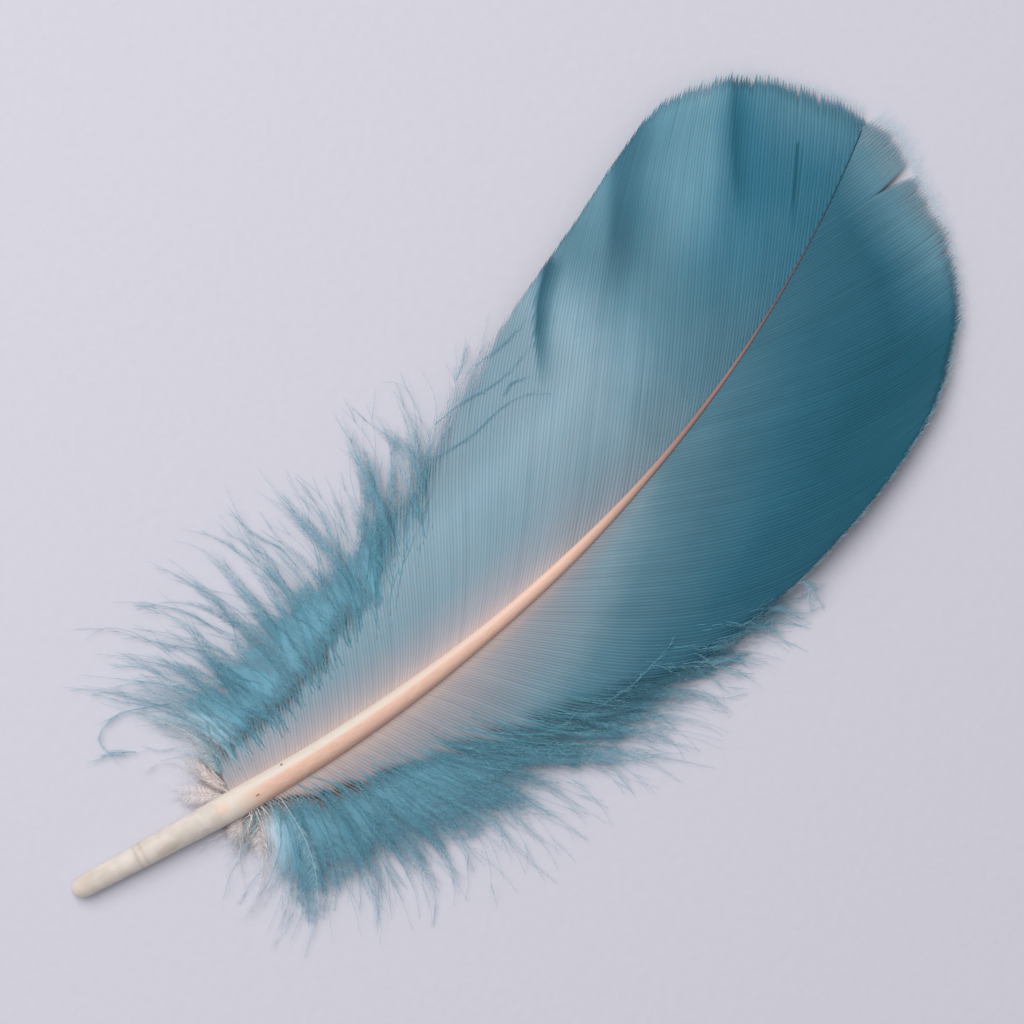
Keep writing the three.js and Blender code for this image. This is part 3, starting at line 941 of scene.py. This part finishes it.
def down_lines(side):
    """Centre lines of the barbs' downy ends, bunched in locks that are narrow at their start."""
    low, high = DOWN_ROOTS[side]
    all_roots, begins = ROOTS[side], DOWN_FROM[side]
    kept = np.flatnonzero((all_roots > low) & (all_roots < high) & (begins < 0.97))
    roots, begins = (np.repeat(row[kept], STRANDS_EACH) for row in (all_roots, begins))
    count = len(roots)
    lean, group = group_values(count, 5, 14)
    anchor_root = np.array([roots[group == g].mean() if (group == g).any() else low
                            for g in range(count)])
    anchor_share = between(DOWN_BEGINS[side], anchor_root)[:, 0] - CHANCE.uniform(0.0, 0.14, count)
    anchor = barb_points(side, anchor_root, anchor_share[:, None])[0][:, 0][group]
    begins = begins + CHANCE.uniform(-0.2, 0.13, count)
    fan = np.where((side > 0) & (roots > FAN_FROM), 17.0, 9.0)
    way = between(DOWN_WAYS[side], roots)[:, 0] + 4 * lean + CHANCE.normal(0, 1, count) * fan
    base, _ = barb_points(side, roots, np.stack([begins - 0.03, begins], axis=1))
    drawn = (0.6 * smooth(0.35, 0.9, CHANCE.random(count)))[:, None]
    start, ahead = blend(base[:, 1], anchor, drawn), unit(base[:, 1] - base[:, 0])
    tips = tips_along(side, start, way)
    stray = CHANCE.random(count) < STRAYS
    reach = (0.95 + 0.07 * lean) * CHANCE.uniform(LEAST_REACH[side], 1.06, count) ** 0.7
    reach = reach * np.where(stray, 1.08, 1.0)
    end = blend(start[:, :2], tips, reach[:, None]) + CHANCE.normal(0, 0.4, (count, 2))
    end = np.concatenate([end, CHANCE.uniform(0.25, 1.3, (count, 1))], axis=1)
    span = np.linalg.norm(end - start, axis=1)[:, None]
    out = unit(end - start)
    bend = TIP_BEND[side] + CHANCE.normal(0, 17, count) + stray * CHANCE.normal(0, 25, count)
    arrive = level(turned(out[:, :2], bend)) * span * STRAND_HANDLE
    leave = unit(blend(ahead, out, 0.4)) * span * STRAND_HANDLE
    rise = np.array([0, 0, 1.0]) * CHANCE.uniform(0.1, 0.7, (count, 1))
    return wavy(swept(start, leave, end, arrive, rise), 1.3), roots


def shoots(line, count, first, width, angles, lifts):
    """Where finer strands leave strands, the direction of the strand there and their own: count
    on each, evenly over a share of it. angles draws their angles; lifts says how they rise."""
    shape = (len(line), count)
    share = first + width * (np.arange(count)[None, :] + CHANCE.uniform(0, 1, shape)) / count
    start, ahead, left, up = frames_on(line, share)
    side = np.where(CHANCE.random(shape) < 0.5, 1.0, -1.0)[..., None]
    spread = np.radians(angles(share))[..., None]
    lift = CHANCE.normal(*lifts, shape)[..., None]
    way = unit(ahead * np.cos(spread) + (side * left + up * lift) * np.sin(spread))
    return share, start, ahead, way


TWIG_STEPS = 6


def branches(line, count, length, angle):
    """Long side branches of strands, with each one's strand and where on it it starts."""
    n, shape = len(line), (len(line), count)
    share, start, ahead, way = shoots(
        line, count, 0.08, 0.84, lambda _: angle * CHANCE.uniform(0.6, 1.35, shape), (0.0, 0.35))
    reach = np.linalg.norm(line[:, -1] - line[:, 0], axis=1)[:, None]
    long = length * CHANCE.uniform(0.6, 1.25, shape) * (1 - 0.35 * share) * smooth(-0.1, 0.25, share)
    long = np.minimum(long, 0.5 * reach)[..., None]
    later = unit(way + ahead * CHANCE.uniform(0.2, 1.3, shape)[..., None])
    ways = (np.zeros_like(way), way, way + later, way + later * 2)
    t = np.linspace(0, 1, TWIG_STEPS)[:, None]
    spine = bezier(*((start + bend * long * 0.33)[:, :, None] for bend in ways), t)
    spine[..., 2] = np.maximum(spine[..., 2], LOWEST_HAIR)
    return spine.reshape(n * count, TWIG_STEPS, 3), np.repeat(np.arange(n), count), share.reshape(-1)


def frames_on(line, share):
    """Points on strands at shares of the way (strands, places), with forward, left and up."""
    m = line.shape[1]
    place_at = np.clip(share, 0, 0.999) * (m - 1)
    i = np.clip(place_at.astype(int), 0, m - 2)
    f = (place_at - i)[..., None]
    rows = np.arange(len(line))[:, None]
    ahead, left, up = headings(line)
    return line[rows, i] * (1 - f) + line[rows, i + 1] * f, ahead[rows, i], left[rows, i], up[rows, i]


def hairs(line, count, length, angle, radius, narrow=0.16):
    """Fine straight hairs on both sides of strands: rings of pointed spikes, with each one's
    strand and its share of the way along it. length and angle hold values at start and end."""
    n, shape = len(line), (len(line), count)
    share, start, _, way = shoots(
        line, count, 0.0, 1.0, lambda share: blend(*angle, share) + CHANCE.normal(0, 6, shape), (0.1, 0.4))
    long = blend(*length, share) * CHANCE.uniform(0.55, 1.3, shape)
    long = long * smooth(-0.06, narrow, share) * (1 - 0.7 * smooth(0.6, 1, share))
    end = start + way * long[..., None]
    end[..., 2] = np.maximum(end[..., 2], LOWEST_HAIR * 0.6)
    spine = np.stack([start, end], axis=2).reshape(n * count, 2, 3)
    thick = np.broadcast_to(np.array([1.0, 0.0]) * radius, spine.shape[:2])
    return tubes(spine, thick), np.repeat(np.arange(n), count), share.reshape(-1)


HAIRS_PALER = 0.45  # hairs take less dye than the stems that carry them, and are painted paler still to make up for the shade they cast on each other


def down_piece(name, lines, coats):
    """One piece of down. lines holds, for each set of strands, their centre lines, radius, tone
    (dye, share, chance) at each point and number of sides; coats holds, for each coat of hairs,
    the strands that carry it, their tones and the settings of the hairs."""
    heap = Heap()
    total = sum(len(line) for line, *_ in lines)
    total += sum(len(line) * hair[0] for line, _, hair in coats)
    done = 0
    for line, radius, tone, sides in lines:
        t = np.linspace(0, 1, line.shape[1])
        rings = tubes(line, np.broadcast_to(radius * (1 - 0.8 * t), line.shape[:2]), sides)
        heap.add(*strips(rings, grid_cells(len(line), done, total), {"dye": tone[:, :, None]}))
        done += len(line)
    for line, tone, hair in coats:
        spikes, which, share = hairs(line, *hair)
        at = np.clip((share * (line.shape[1] - 1)).astype(int), 0, line.shape[1] - 1)
        value = tone[which, at] + np.array([-HAIRS_PALER, 0, 0])
        cells = grid_cells(len(spikes), done, total)
        heap.add(*strips(spikes, cells, {"dye": value[:, None, None]}, True))
        done += len(spikes)
    return finish_piece(name, heap.mesh(name), down_finish(name))


def tones(line, dye_start, dye_end, chance):
    """Dye, share and chance at each point of strands."""
    t = np.linspace(0, 1, line.shape[1])[None, :]
    parts = [blend(dye_start[:, None], dye_end[:, None], t), t, chance[:, None]]
    return np.stack([np.broadcast_to(p, line.shape[:2]) for p in parts], axis=-1)


BARBULE_SLANT = 1.6   # how far forwards a barbule ends, in half widths of its ribbon
BARBULE_SHEET = 0.02  # half the thickness of a ribbon of barbules


def ribbon(line, aside, over, half, lowest):
    """Rings of thin flat ribbons along strands."""
    rings = np.stack([line + aside * half, line + over * BARBULE_SHEET,
                      line - aside * half, line - over * BARBULE_SHEET], axis=2)
    rings[..., 2] = np.maximum(rings[..., 2], lowest)
    return rings


def barbules(name, line, tone, wide, strength, colours):
    """Thin ribbons along strands, seen as fine barbules on both sides of each."""
    count, steps, _ = line.shape
    t = np.linspace(0, 1, steps)[None, :]
    _, left, up = headings(line)
    roll = CHANCE.normal(0, 0.45, (count, 1, 1))
    aside = left * np.cos(roll) + up * np.sin(roll)
    over = up * np.cos(roll) - left * np.sin(roll)
    half = wide * CHANCE.uniform(0.55, 1.25, (count, 1)) * smooth(-0.04, 0.35, t)
    half = (half * (1 - 0.85 * smooth(0.6, 1, t)))[..., None]
    line = line + aside * CHANCE.normal(0, 0.12 * wide, (count, 1, 1))
    line[..., 2] = np.maximum(line[..., 2], 3 * LOWEST_HAIR)
    rings = ribbon(line, aside, over, half, LOWEST_HAIR * np.array([1.0, 1.2, 1.0, 0.8]))
    strong = strength * smooth(-0.02, 0.22, t) * (1 - smooth(0.45, 0.95, t))
    strong = strong * CHANCE.uniform(0.7, 1.1, (count, 1))
    across = np.broadcast_to(ACROSS, rings.shape[:3])
    haze = at_corners(across.shape, distance_along(line), across, strong)
    heap = Heap()
    heap.add(*strips(rings, grid_cells(count), {"dye": tone[:, :, None], "haze": haze}))
    return finish_piece(name, heap.mesh(name), barbule_finish(name, colours))


def down_pieces(name, line, dye_start, dye_end, stem, twigs, stem_hairs, ribbons):
    """Strands with long branches, fine hairs on the strands, and ribbons of barbules on both.
    stem is the strands' radius. twigs holds how many branches each strand has, their length,
    angle and radius, and their hairs; ribbons holds the ribbons' half width, their strength, how
    many strands share one and their colours."""
    chance = CHANCE.random(len(line))
    tone = tones(line, dye_start, dye_end, chance)
    spine, which, share = branches(line, *twigs[:3])
    dye = blend(dye_start[which], dye_end[which], share)
    twig_tone = tones(spine, dye, np.clip(dye + 0.05, 0, 1), chance[which])
    down_piece(name, [(line, stem, tone, 3), (spine, twigs[3], twig_tone, 3)], [])
    half = len(line) // 2
    down_piece(name + "_hairs_near", [], [(line[:half], tone[:half], stem_hairs)])
    down_piece(name + "_hairs_far", [], [(line[half:], tone[half:], stem_hairs)])
    down_piece(name + "_twig_hairs", [], [(spine, twig_tone, twigs[4])])
    wide, strength, each, colours = ribbons
    barbules(name + "_haze", line[::each], tone[::each], wide, strength, colours)


# How the ribbons of barbules look as their dye deepens, on the dyed down and on the undyed.
TEAL_HAZE = [(0.0, paint(226, 214, 210)), (0.3, paint(196, 204, 210)), (0.6, paint(146, 186, 200)),
             (0.8, paint(124, 174, 192)), (1.0, paint(108, 164, 184))]
PALE_HAZE = [(0.0, paint(238, 224, 218)), (0.3, paint(232, 222, 222)), (0.7, paint(168, 196, 206)),
             (1.0, paint(110, 164, 184))]

# The bed's colours, and how far it stays thick and where it ends, as shares of the way out.
BED_COLOURS = [(0.0, paint(240, 230, 228)), (0.3, paint(214, 212, 218)), (0.6, paint(160, 192, 207)),
               (0.8, paint(108, 156, 175)), (1.0, paint(103, 148, 166))]
BED_REACH = {1: (0.1, 0.74), -1: (0.2, 0.98)}
UNDYED_BELOW = {1: (24.5, 31.0), -1: (25.0, 32.5)}  # roots over which the down takes up its dye
BED_DYE = {1: 0.82, -1: 0.97}
BED_STRIP = 0.4   # spacing of the bed's strips along the shaft
BED_LOCK = 1.9    # spacing of its locks there
BED_HIGH = 0.12   # how far the bed starts over the barbs
BED_EARLY = 0.18  # how much sooner than the down the bed begins, as a share of the barb


def bed(side, name):
    """The soft bed under the fringe's strands: thin strips side by side, out from the barbs."""
    low, high = DOWN_ROOTS[side]
    roots = np.arange(low - 0.8, high + 2.0, BED_STRIP)
    locks = np.linspace(roots[0], roots[-1], int((high - low) / BED_LOCK))
    uneven, sway = (np.interp(roots, locks, CHANCE.uniform(-1, 1, len(locks))) for _ in range(2))
    begins = between(DOWN_BEGINS[side], roots)[:, 0] - BED_EARLY + 0.1 * uneven
    base, _ = barb_points(side, roots, np.stack([begins - 0.03, begins], axis=1))
    start, ahead = base[:, 1] + (0, 0, BED_HIGH), unit(base[:, 1] - base[:, 0])
    tips = tips_along(side, start, between(DOWN_WAYS[side], roots)[:, 0])
    end = np.column_stack([blend(start[:, :2], tips, 0.98), np.full(len(roots), 0.3)])
    span = np.linalg.norm(end - start, axis=1)[:, None]
    out = unit(end - start)
    arrive = level(turned(out[:, :2], TIP_BEND[side])) * span * STRAND_HANDLE
    line = swept(start, unit(blend(ahead, out, 0.4)) * span * STRAND_HANDLE, end, arrive)
    line[..., 2] = np.maximum(line[..., 2], 2 * LOWEST_HAIR)
    _, left, up = headings(line)
    t = np.linspace(0, 1, STRAND_STEPS)
    shift = 0.9 * sway[:, None] * np.sin(np.pi * t) ** 2 + 0.25 * uneven[:, None] * t
    line = line + left * shift[..., None]
    half = (0.6 * np.abs(np.sum(np.gradient(line, axis=0) * left, axis=-1)) + 0.02)[..., None]
    rings = ribbon(line, left, up, half, LOWEST_HAIR)
    thick, gone = BED_REACH[side]
    at_ends = smooth(low - 0.8, low + 2.5, roots) * (1 - smooth(high - 6, high + 2, roots))
    further = t[None] + 0.2 * uneven[:, None] * t
    strong = smooth(0, 0.3, t)[None] * (1 - smooth(thick, gone, further)) * at_ends[:, None]
    across = np.broadcast_to(0.5 * ACROSS, rings.shape[:3])
    root = roots[:, None, None] - across * BED_STRIP
    haze = at_corners(across.shape, distance_along(line), root, strong)
    dye = BED_DYE[side] * (0.2 + 0.8 * smooth(*UNDYED_BELOW[side], roots - 1.5))
    tone = tones(line, dye, dye * 0.94, CHANCE.random(len(roots)))
    heap = Heap()
    heap.add(*strips(rings, grid_cells(len(roots)), {"dye": tone[:, :, None], "haze": haze}))
    mesh = heap.mesh(name)
    keep_sides_sharp(mesh)
    return finish_piece(name, mesh, bed_finish(name, BED_COLOURS))


def fringe(side, name):
    """The downy fringe of one vane."""
    bed(side, name + "_bed")
    line, roots = down_lines(side)
    count = len(roots)
    base = smooth(*UNDYED_BELOW[side], roots + CHANCE.normal(0, 1.2, count))
    base = base * 0.88 + 0.08 + CHANCE.normal(0, 0.03, count)
    down_pieces(name, line, np.clip(base, 0, 1), np.clip(base + 0.08, 0, 0.95), 0.055,
                (3, 5.5, 16, 0.032, (8, (1.3, 0.8), (30, 20), 0.012)),
                (34, (2.0, 1.0), (31, 22), 0.013, 0.35), (1.3, 0.45, 3, TEAL_HAZE))


# Loose strands on the plan: over the fringe, over each vane, and undyed ones by the quill.
LOOSE_OUTSIDE = [
    [(30.4, 5.8), (26.9, 11.8), (23.3, 17.4), (19.2, 22.4)],
    [(29.3, 5.7), (26.5, 11.4), (23.3, 15.9), (21.1, 20.2)],
    [(31.2, 12.2), (29.4, 16.5), (26.4, 19.2)],
    [(28.6, 9.9), (26.5, 11.4), (21.1, 14.0), (17.9, 13.1), (17.5, 10.7), (21.7, 7.2)],
    [(20.5, 8.2), (17.5, 10.7), (14.9, 11.3)],
    [(36.2, 6.6), (37.1, 12.1), (34.8, 15.5), (32.7, 18.7), (29.5, 24.4)],
    [(41.1, 11.7), (39.4, 17.8), (37.5, 20.8), (34.6, 23.5)],
    [(41.2, 8.5), (43.3, 12.4), (43.7, 15.6), (42.4, 21.7), (40.6, 26.8)],
    [(51.5, 8.5), (51.8, 12.9), (50.9, 18.2), (50.2, 21.6), (47.3, 26.8)],
    [(55.5, 11.4), (55.6, 14.8), (54.3, 18.4), (54.2, 23.7)],
    [(36.0, -11.3), (38.2, -15.6), (38.9, -19.9), (42.3, -23.6), (46.0, -26.4)],
    [(34.0, -10.8), (35.2, -15.5), (34.9, -20.0), (33.0, -23.4)],
    [(29.8, -10.9), (29.2, -16.7), (27.8, -21.8), (25.0, -25.5)],
]
LOOSE_LEFT = [
    [(80.4, 8.7), (87.0, 7.3), (92.6, 7.2), (95.8, 6.3), (98.7, 3.8)],
    [(83.8, 12.1), (89.3, 11.6), (93.4, 10.5), (96.3, 10.2), (102.0, 10.9)],
    [(93.7, 14.1), (99.2, 13.7), (103.7, 13.9)],
    [(93.6, 8.3), (95.6, 8.8), (98.1, 7.8)],
    [(90.4, 14.5), (93.6, 16.2), (95.5, 18.0)],
]
LOOSE_RIGHT = [
    [(58.5, -21.3), (60.9, -26.0), (62.7, -29.0), (67.8, -31.5), (71.3, -31.5)],
    [(52.7, -19.1), (54.0, -22.8), (56.3, -26.2)],
    [(72.8, -33.2), (78.8, -34.2), (85.1, -33.9), (87.2, -33.9)],
]
LOOSE_DARK = [
    [(27.0, -2.6), (28.3, 2.2), (29.4, 8.4)],
    [(27.2, -2.6), (29.0, 2.6), (30.6, 7.9)],
    [(27.5, -2.5), (30.0, 2.8), (32.4, 6.0)],
]
LOOSE_PALE = [
    [(26.2, -9.6), (23.0, -9.2), (20.4, -8.6), (17.0, -8.0)],
    [(26.0, -10.2), (22.6, -10.6), (19.6, -10.0)],
    [(26.4, -9.8), (24.0, -11.6), (21.4, -12.2)],
    [(26.6, -4.1), (24.3, 0.9), (21.9, 4.6), (18.3, 5.6)],
    [(26.6, -4.1), (26.7, 2.2), (27.5, 6.2), (27.2, 8.5)],
    [(26.3, -9.3), (23.8, -14.4), (19.4, -18.1), (14.2, -19.5)],
    [(28.2, -9.9), (27.1, -15.7), (23.9, -20.5), (14.7, -25.5)],
]
OVER_VANE = 0.25    # how far loose strands lie over the barbs under them
LOWEST_LOOSE = 0.8  # how high they lie beside the vanes
LOOSE_STEPS = 18


def laid(paths):
    """Loose strands along plan paths, lying on the vanes where they cross them."""
    share = np.linspace(0, 1, 24)
    under = np.concatenate([barb_points(side, ROOTS[side][::2], share)[0].reshape(-1, 3)
                            for side in (1, -1)])
    plan = np.stack([along_points(path, np.linspace(0, 1, LOOSE_STEPS)) for path in paths])
    gap = np.linalg.norm(plan.reshape(-1, 1, 2) - under[None, :, :2], axis=-1)
    top = np.where(gap < 1.2, under[None, :, 2], 0).max(axis=1).reshape(plan.shape[:2])
    top = np.maximum(top + OVER_VANE, LOWEST_LOOSE)
    rounded = np.stack([np.convolve(np.pad(row, 2, "edge"), np.ones(5) / 5, "valid") for row in top])
    return np.concatenate([plan, np.maximum(rounded, top)[..., None]], axis=-1)


# Loose pieces: name, paths, dye at both ends, radius, and each strand's branches: how many, and
# their length, angle and radius.
LOOSE = [
    ("loose_outside", LOOSE_OUTSIDE, (0.95, 0.85), 0.06, (6, 2.6, 20, 0.035)),
    ("loose_left", LOOSE_LEFT, (1.0, 1.0), 0.07, (3, 1.8, 14, 0.028)),
    ("loose_dark", LOOSE_DARK, (0.93, 0.8), 0.055, (2, 1.2, 12, 0.02)),
    ("loose_right", LOOSE_RIGHT, (1.0, 1.0), 0.04, (6, 2.4, 20, 0.025)),
    ("loose_pale", LOOSE_PALE, (0.05, 0.4), 0.06, (6, 2.4, 20, 0.032)),
]


def loose_pieces():
    """The loose strands, with branches, hairs and ribbons of their own."""
    for name, paths, dye, stem, twigs in LOOSE:
        slot, colours = ("dyed_down", TEAL_HAZE) if name != "loose_pale" else ("pale_down", PALE_HAZE)
        line = laid(paths)
        start, end = (np.full(len(line), value) for value in dye)
        down_pieces(name, line, start, end, stem, (*twigs, (14, (0.9, 0.6), (34, 24), 0.009)),
                    (24, (1.0, 0.7), (32, 24), 0.009), (0.5, 0.25, 1, colours))


def afterfeather(name, count, low, high, first_turn, last_turn, lengths, curl, dye_end):
    """Undyed down that fans out from one edge of the quill where the vane begins."""
    side = 1 if first_turn > 0 else -1
    share = np.sort(CHANCE.random(count))
    at = blend(low, high, share) + CHANCE.normal(0, 0.15, count)
    point, ahead, left = station(at)
    half = shaft_half_width(at)[:, None]
    start = np.concatenate([point + side * left * half * 0.8, half * 0.8], axis=1)
    turn = blend(first_turn, last_turn, share) + CHANCE.normal(0, 7, count)
    leave = turned(ahead, turn)
    arrive = turned(leave, curl + CHANCE.normal(0, 14, count))
    span = (blend(*lengths, share) * CHANCE.uniform(0.6, 1.1, count))[:, None]
    end = start[:, :2] + unit(leave + arrive) * span
    end = np.concatenate([end, CHANCE.uniform(0.2, 1.6, (count, 1))], axis=1)
    line = swept(start, level(leave) * span * 0.35, end, level(arrive) * span * 0.35)
    down_pieces(name, wavy(line, 0.5), np.full(count, 0.02),
                np.clip(dye_end + CHANCE.normal(0, 0.12, count), 0, 1), 0.04,
                (3, 3.4, 20, 0.022, (8, (1.2, 0.8), (36, 26), 0.011)),
                (10, (1.7, 1.0), (40, 28), 0.012, 0.3), (2.3, 0.85, 2, PALE_HAZE))


EDGE_HAIRS_FROM = 72.0  # barbs beyond this root carry fine hairs past their ends
EDGE_HAIRS_EACH = 4
EDGE_HAIR = 0.022       # radius of such a hair where it starts


def edge_hairs(side):
    """Fine single hairs past the ends of the barbs, round the far half of a vane."""
    name = "edge_left" if side > 0 else "edge_right"
    roots = np.repeat(ROOTS[side][ROOTS[side] > EDGE_HAIRS_FROM], EDGE_HAIRS_EACH)
    count = len(roots)
    share = CHANCE.uniform(0.975, 1.0, count)
    pair, _ = barb_points(side, roots, np.stack([share - 0.01, share], axis=1))
    start, ahead = pair[:, 1], unit(pair[:, 1] - pair[:, 0])
    way = np.concatenate([turned(ahead[:, :2], CHANCE.normal(0, 9, count)), ahead[:, 2:]], axis=1)
    aside = np.stack([-way[:, 1], way[:, 0], np.zeros(count)], axis=1)
    aside = aside * CHANCE.normal(0, 0.2, (count, 1))
    longer = blend(1.0, 1.7 if side < 0 else 1.1, smooth(120, 145, roots))
    long = CHANCE.uniform(0.3, 1.7, count) * longer
    t = np.linspace(0, 1, 5)[None, :, None]
    line = start[:, None] + (way[:, None] * t + aside[:, None] * t * t) * long[:, None, None]
    line[..., 2] = np.maximum(line[..., 2], LOWEST_HAIR)
    dye = blend(0.86, 0.76, smooth(100, 130, roots))
    tone = tones(line, dye, dye - 0.2, CHANCE.random(count))
    down_piece(name, [(line, EDGE_HAIR, tone, 3)], [])


# ---- floor, light and camera

VIEW_WIDTH = 146.3  # what the view spans, in millimetres on the sheet
VIEW_CENTRE = (83.03, -4.51)
VIEW_TURN = -44.0
LENS, SENSOR = 250.0, 36.0
SHEET_HALF = 1.5
WINDOW_AWAY, WINDOW_HEIGHT, WINDOW_SIZE, WINDOW_POWER = 0.42, 0.72, 0.8, 6.0
WINDOW_COLOUR = (1.0, 0.985, 0.96)
ROOM_LIGHT, ROOM_COLOUR = 0.40, (0.93, 0.94, 1.0, 1)


def floor():
    """The pale sheet under the feather."""
    made = bmesh.new()
    bmesh.ops.create_grid(made, x_segments=1, y_segments=1, size=SHEET_HALF)
    mesh = bpy.data.meshes.new("sheet")
    made.to_mesh(mesh)
    made.free()
    sheet = bpy.data.objects.new("sheet", mesh)
    bpy.context.scene.collection.objects.link(sheet)
    look = Finish("paper", Roughness=0.95, Specular_IOR_Level=0.1)
    grain = look.noise(look.place(), 700.0, 3.0)
    look.join(Base_Color=grain.mix((0.625, 0.62, 0.695), (0.66, 0.655, 0.73)),
              Normal=look.bump(grain, 0.0002, 0.25))
    mesh.materials.append(look.material)


def window_light(middle):
    """One large soft light, up and away from the feather, turned to its middle."""
    lamp = bpy.data.lights.new("window", "AREA")
    lamp.shape, lamp.size, lamp.energy = "DISK", WINDOW_SIZE, WINDOW_POWER
    lamp.color = WINDOW_COLOUR
    lit = bpy.data.objects.new("window", lamp)
    lit.location = (middle[0] - 0.05, middle[1] + WINDOW_AWAY, WINDOW_HEIGHT)
    lit.rotation_euler = (Vector(middle) - lit.location).to_track_quat("-Z", "Y").to_euler()
    bpy.context.scene.collection.objects.link(lit)


def light_and_camera():
    """Light from one window and from the room, and a view from straight above."""
    scene = bpy.context.scene
    scene.view_settings.view_transform = "Standard"
    scene.view_settings.look = "None"
    scene.cycles.transparent_max_bounces = 24
    world = bpy.data.worlds.new("room")
    world.use_nodes = True
    sky = world.node_tree.nodes["Background"].inputs
    sky["Color"].default_value, sky["Strength"].default_value = ROOM_COLOUR, ROOM_LIGHT
    scene.world = world
    middle = place([*VIEW_CENTRE, 0.0])
    window_light(middle)
    lens = bpy.data.cameras.new("camera")
    lens.lens, lens.sensor_width = LENS, SENSOR
    lens.clip_end = 50
    camera = bpy.data.objects.new("camera", lens)
    away = VIEW_WIDTH * MM * LENS / SENSOR
    camera.location = (middle[0], middle[1], away + 0.002)
    camera.rotation_euler = (0, 0, math.radians(VIEW_TURN))
    scene.collection.objects.link(camera)
    scene.camera = camera


light_and_camera()
floor()
shaft_piece()
vane_piece(1)
vane_piece(-1)
edge_hairs(1)
edge_hairs(-1)
fringe(1, "down_left")
fringe(-1, "down_right")
loose_pieces()
afterfeather("pale_left", 22, 25.8, 27.6, 150, 70, (8, 12), 16, 0.35)
afterfeather("pale_right", 24, 26.0, 33.0, -125, -48, (7, 13), -14, 0.5)
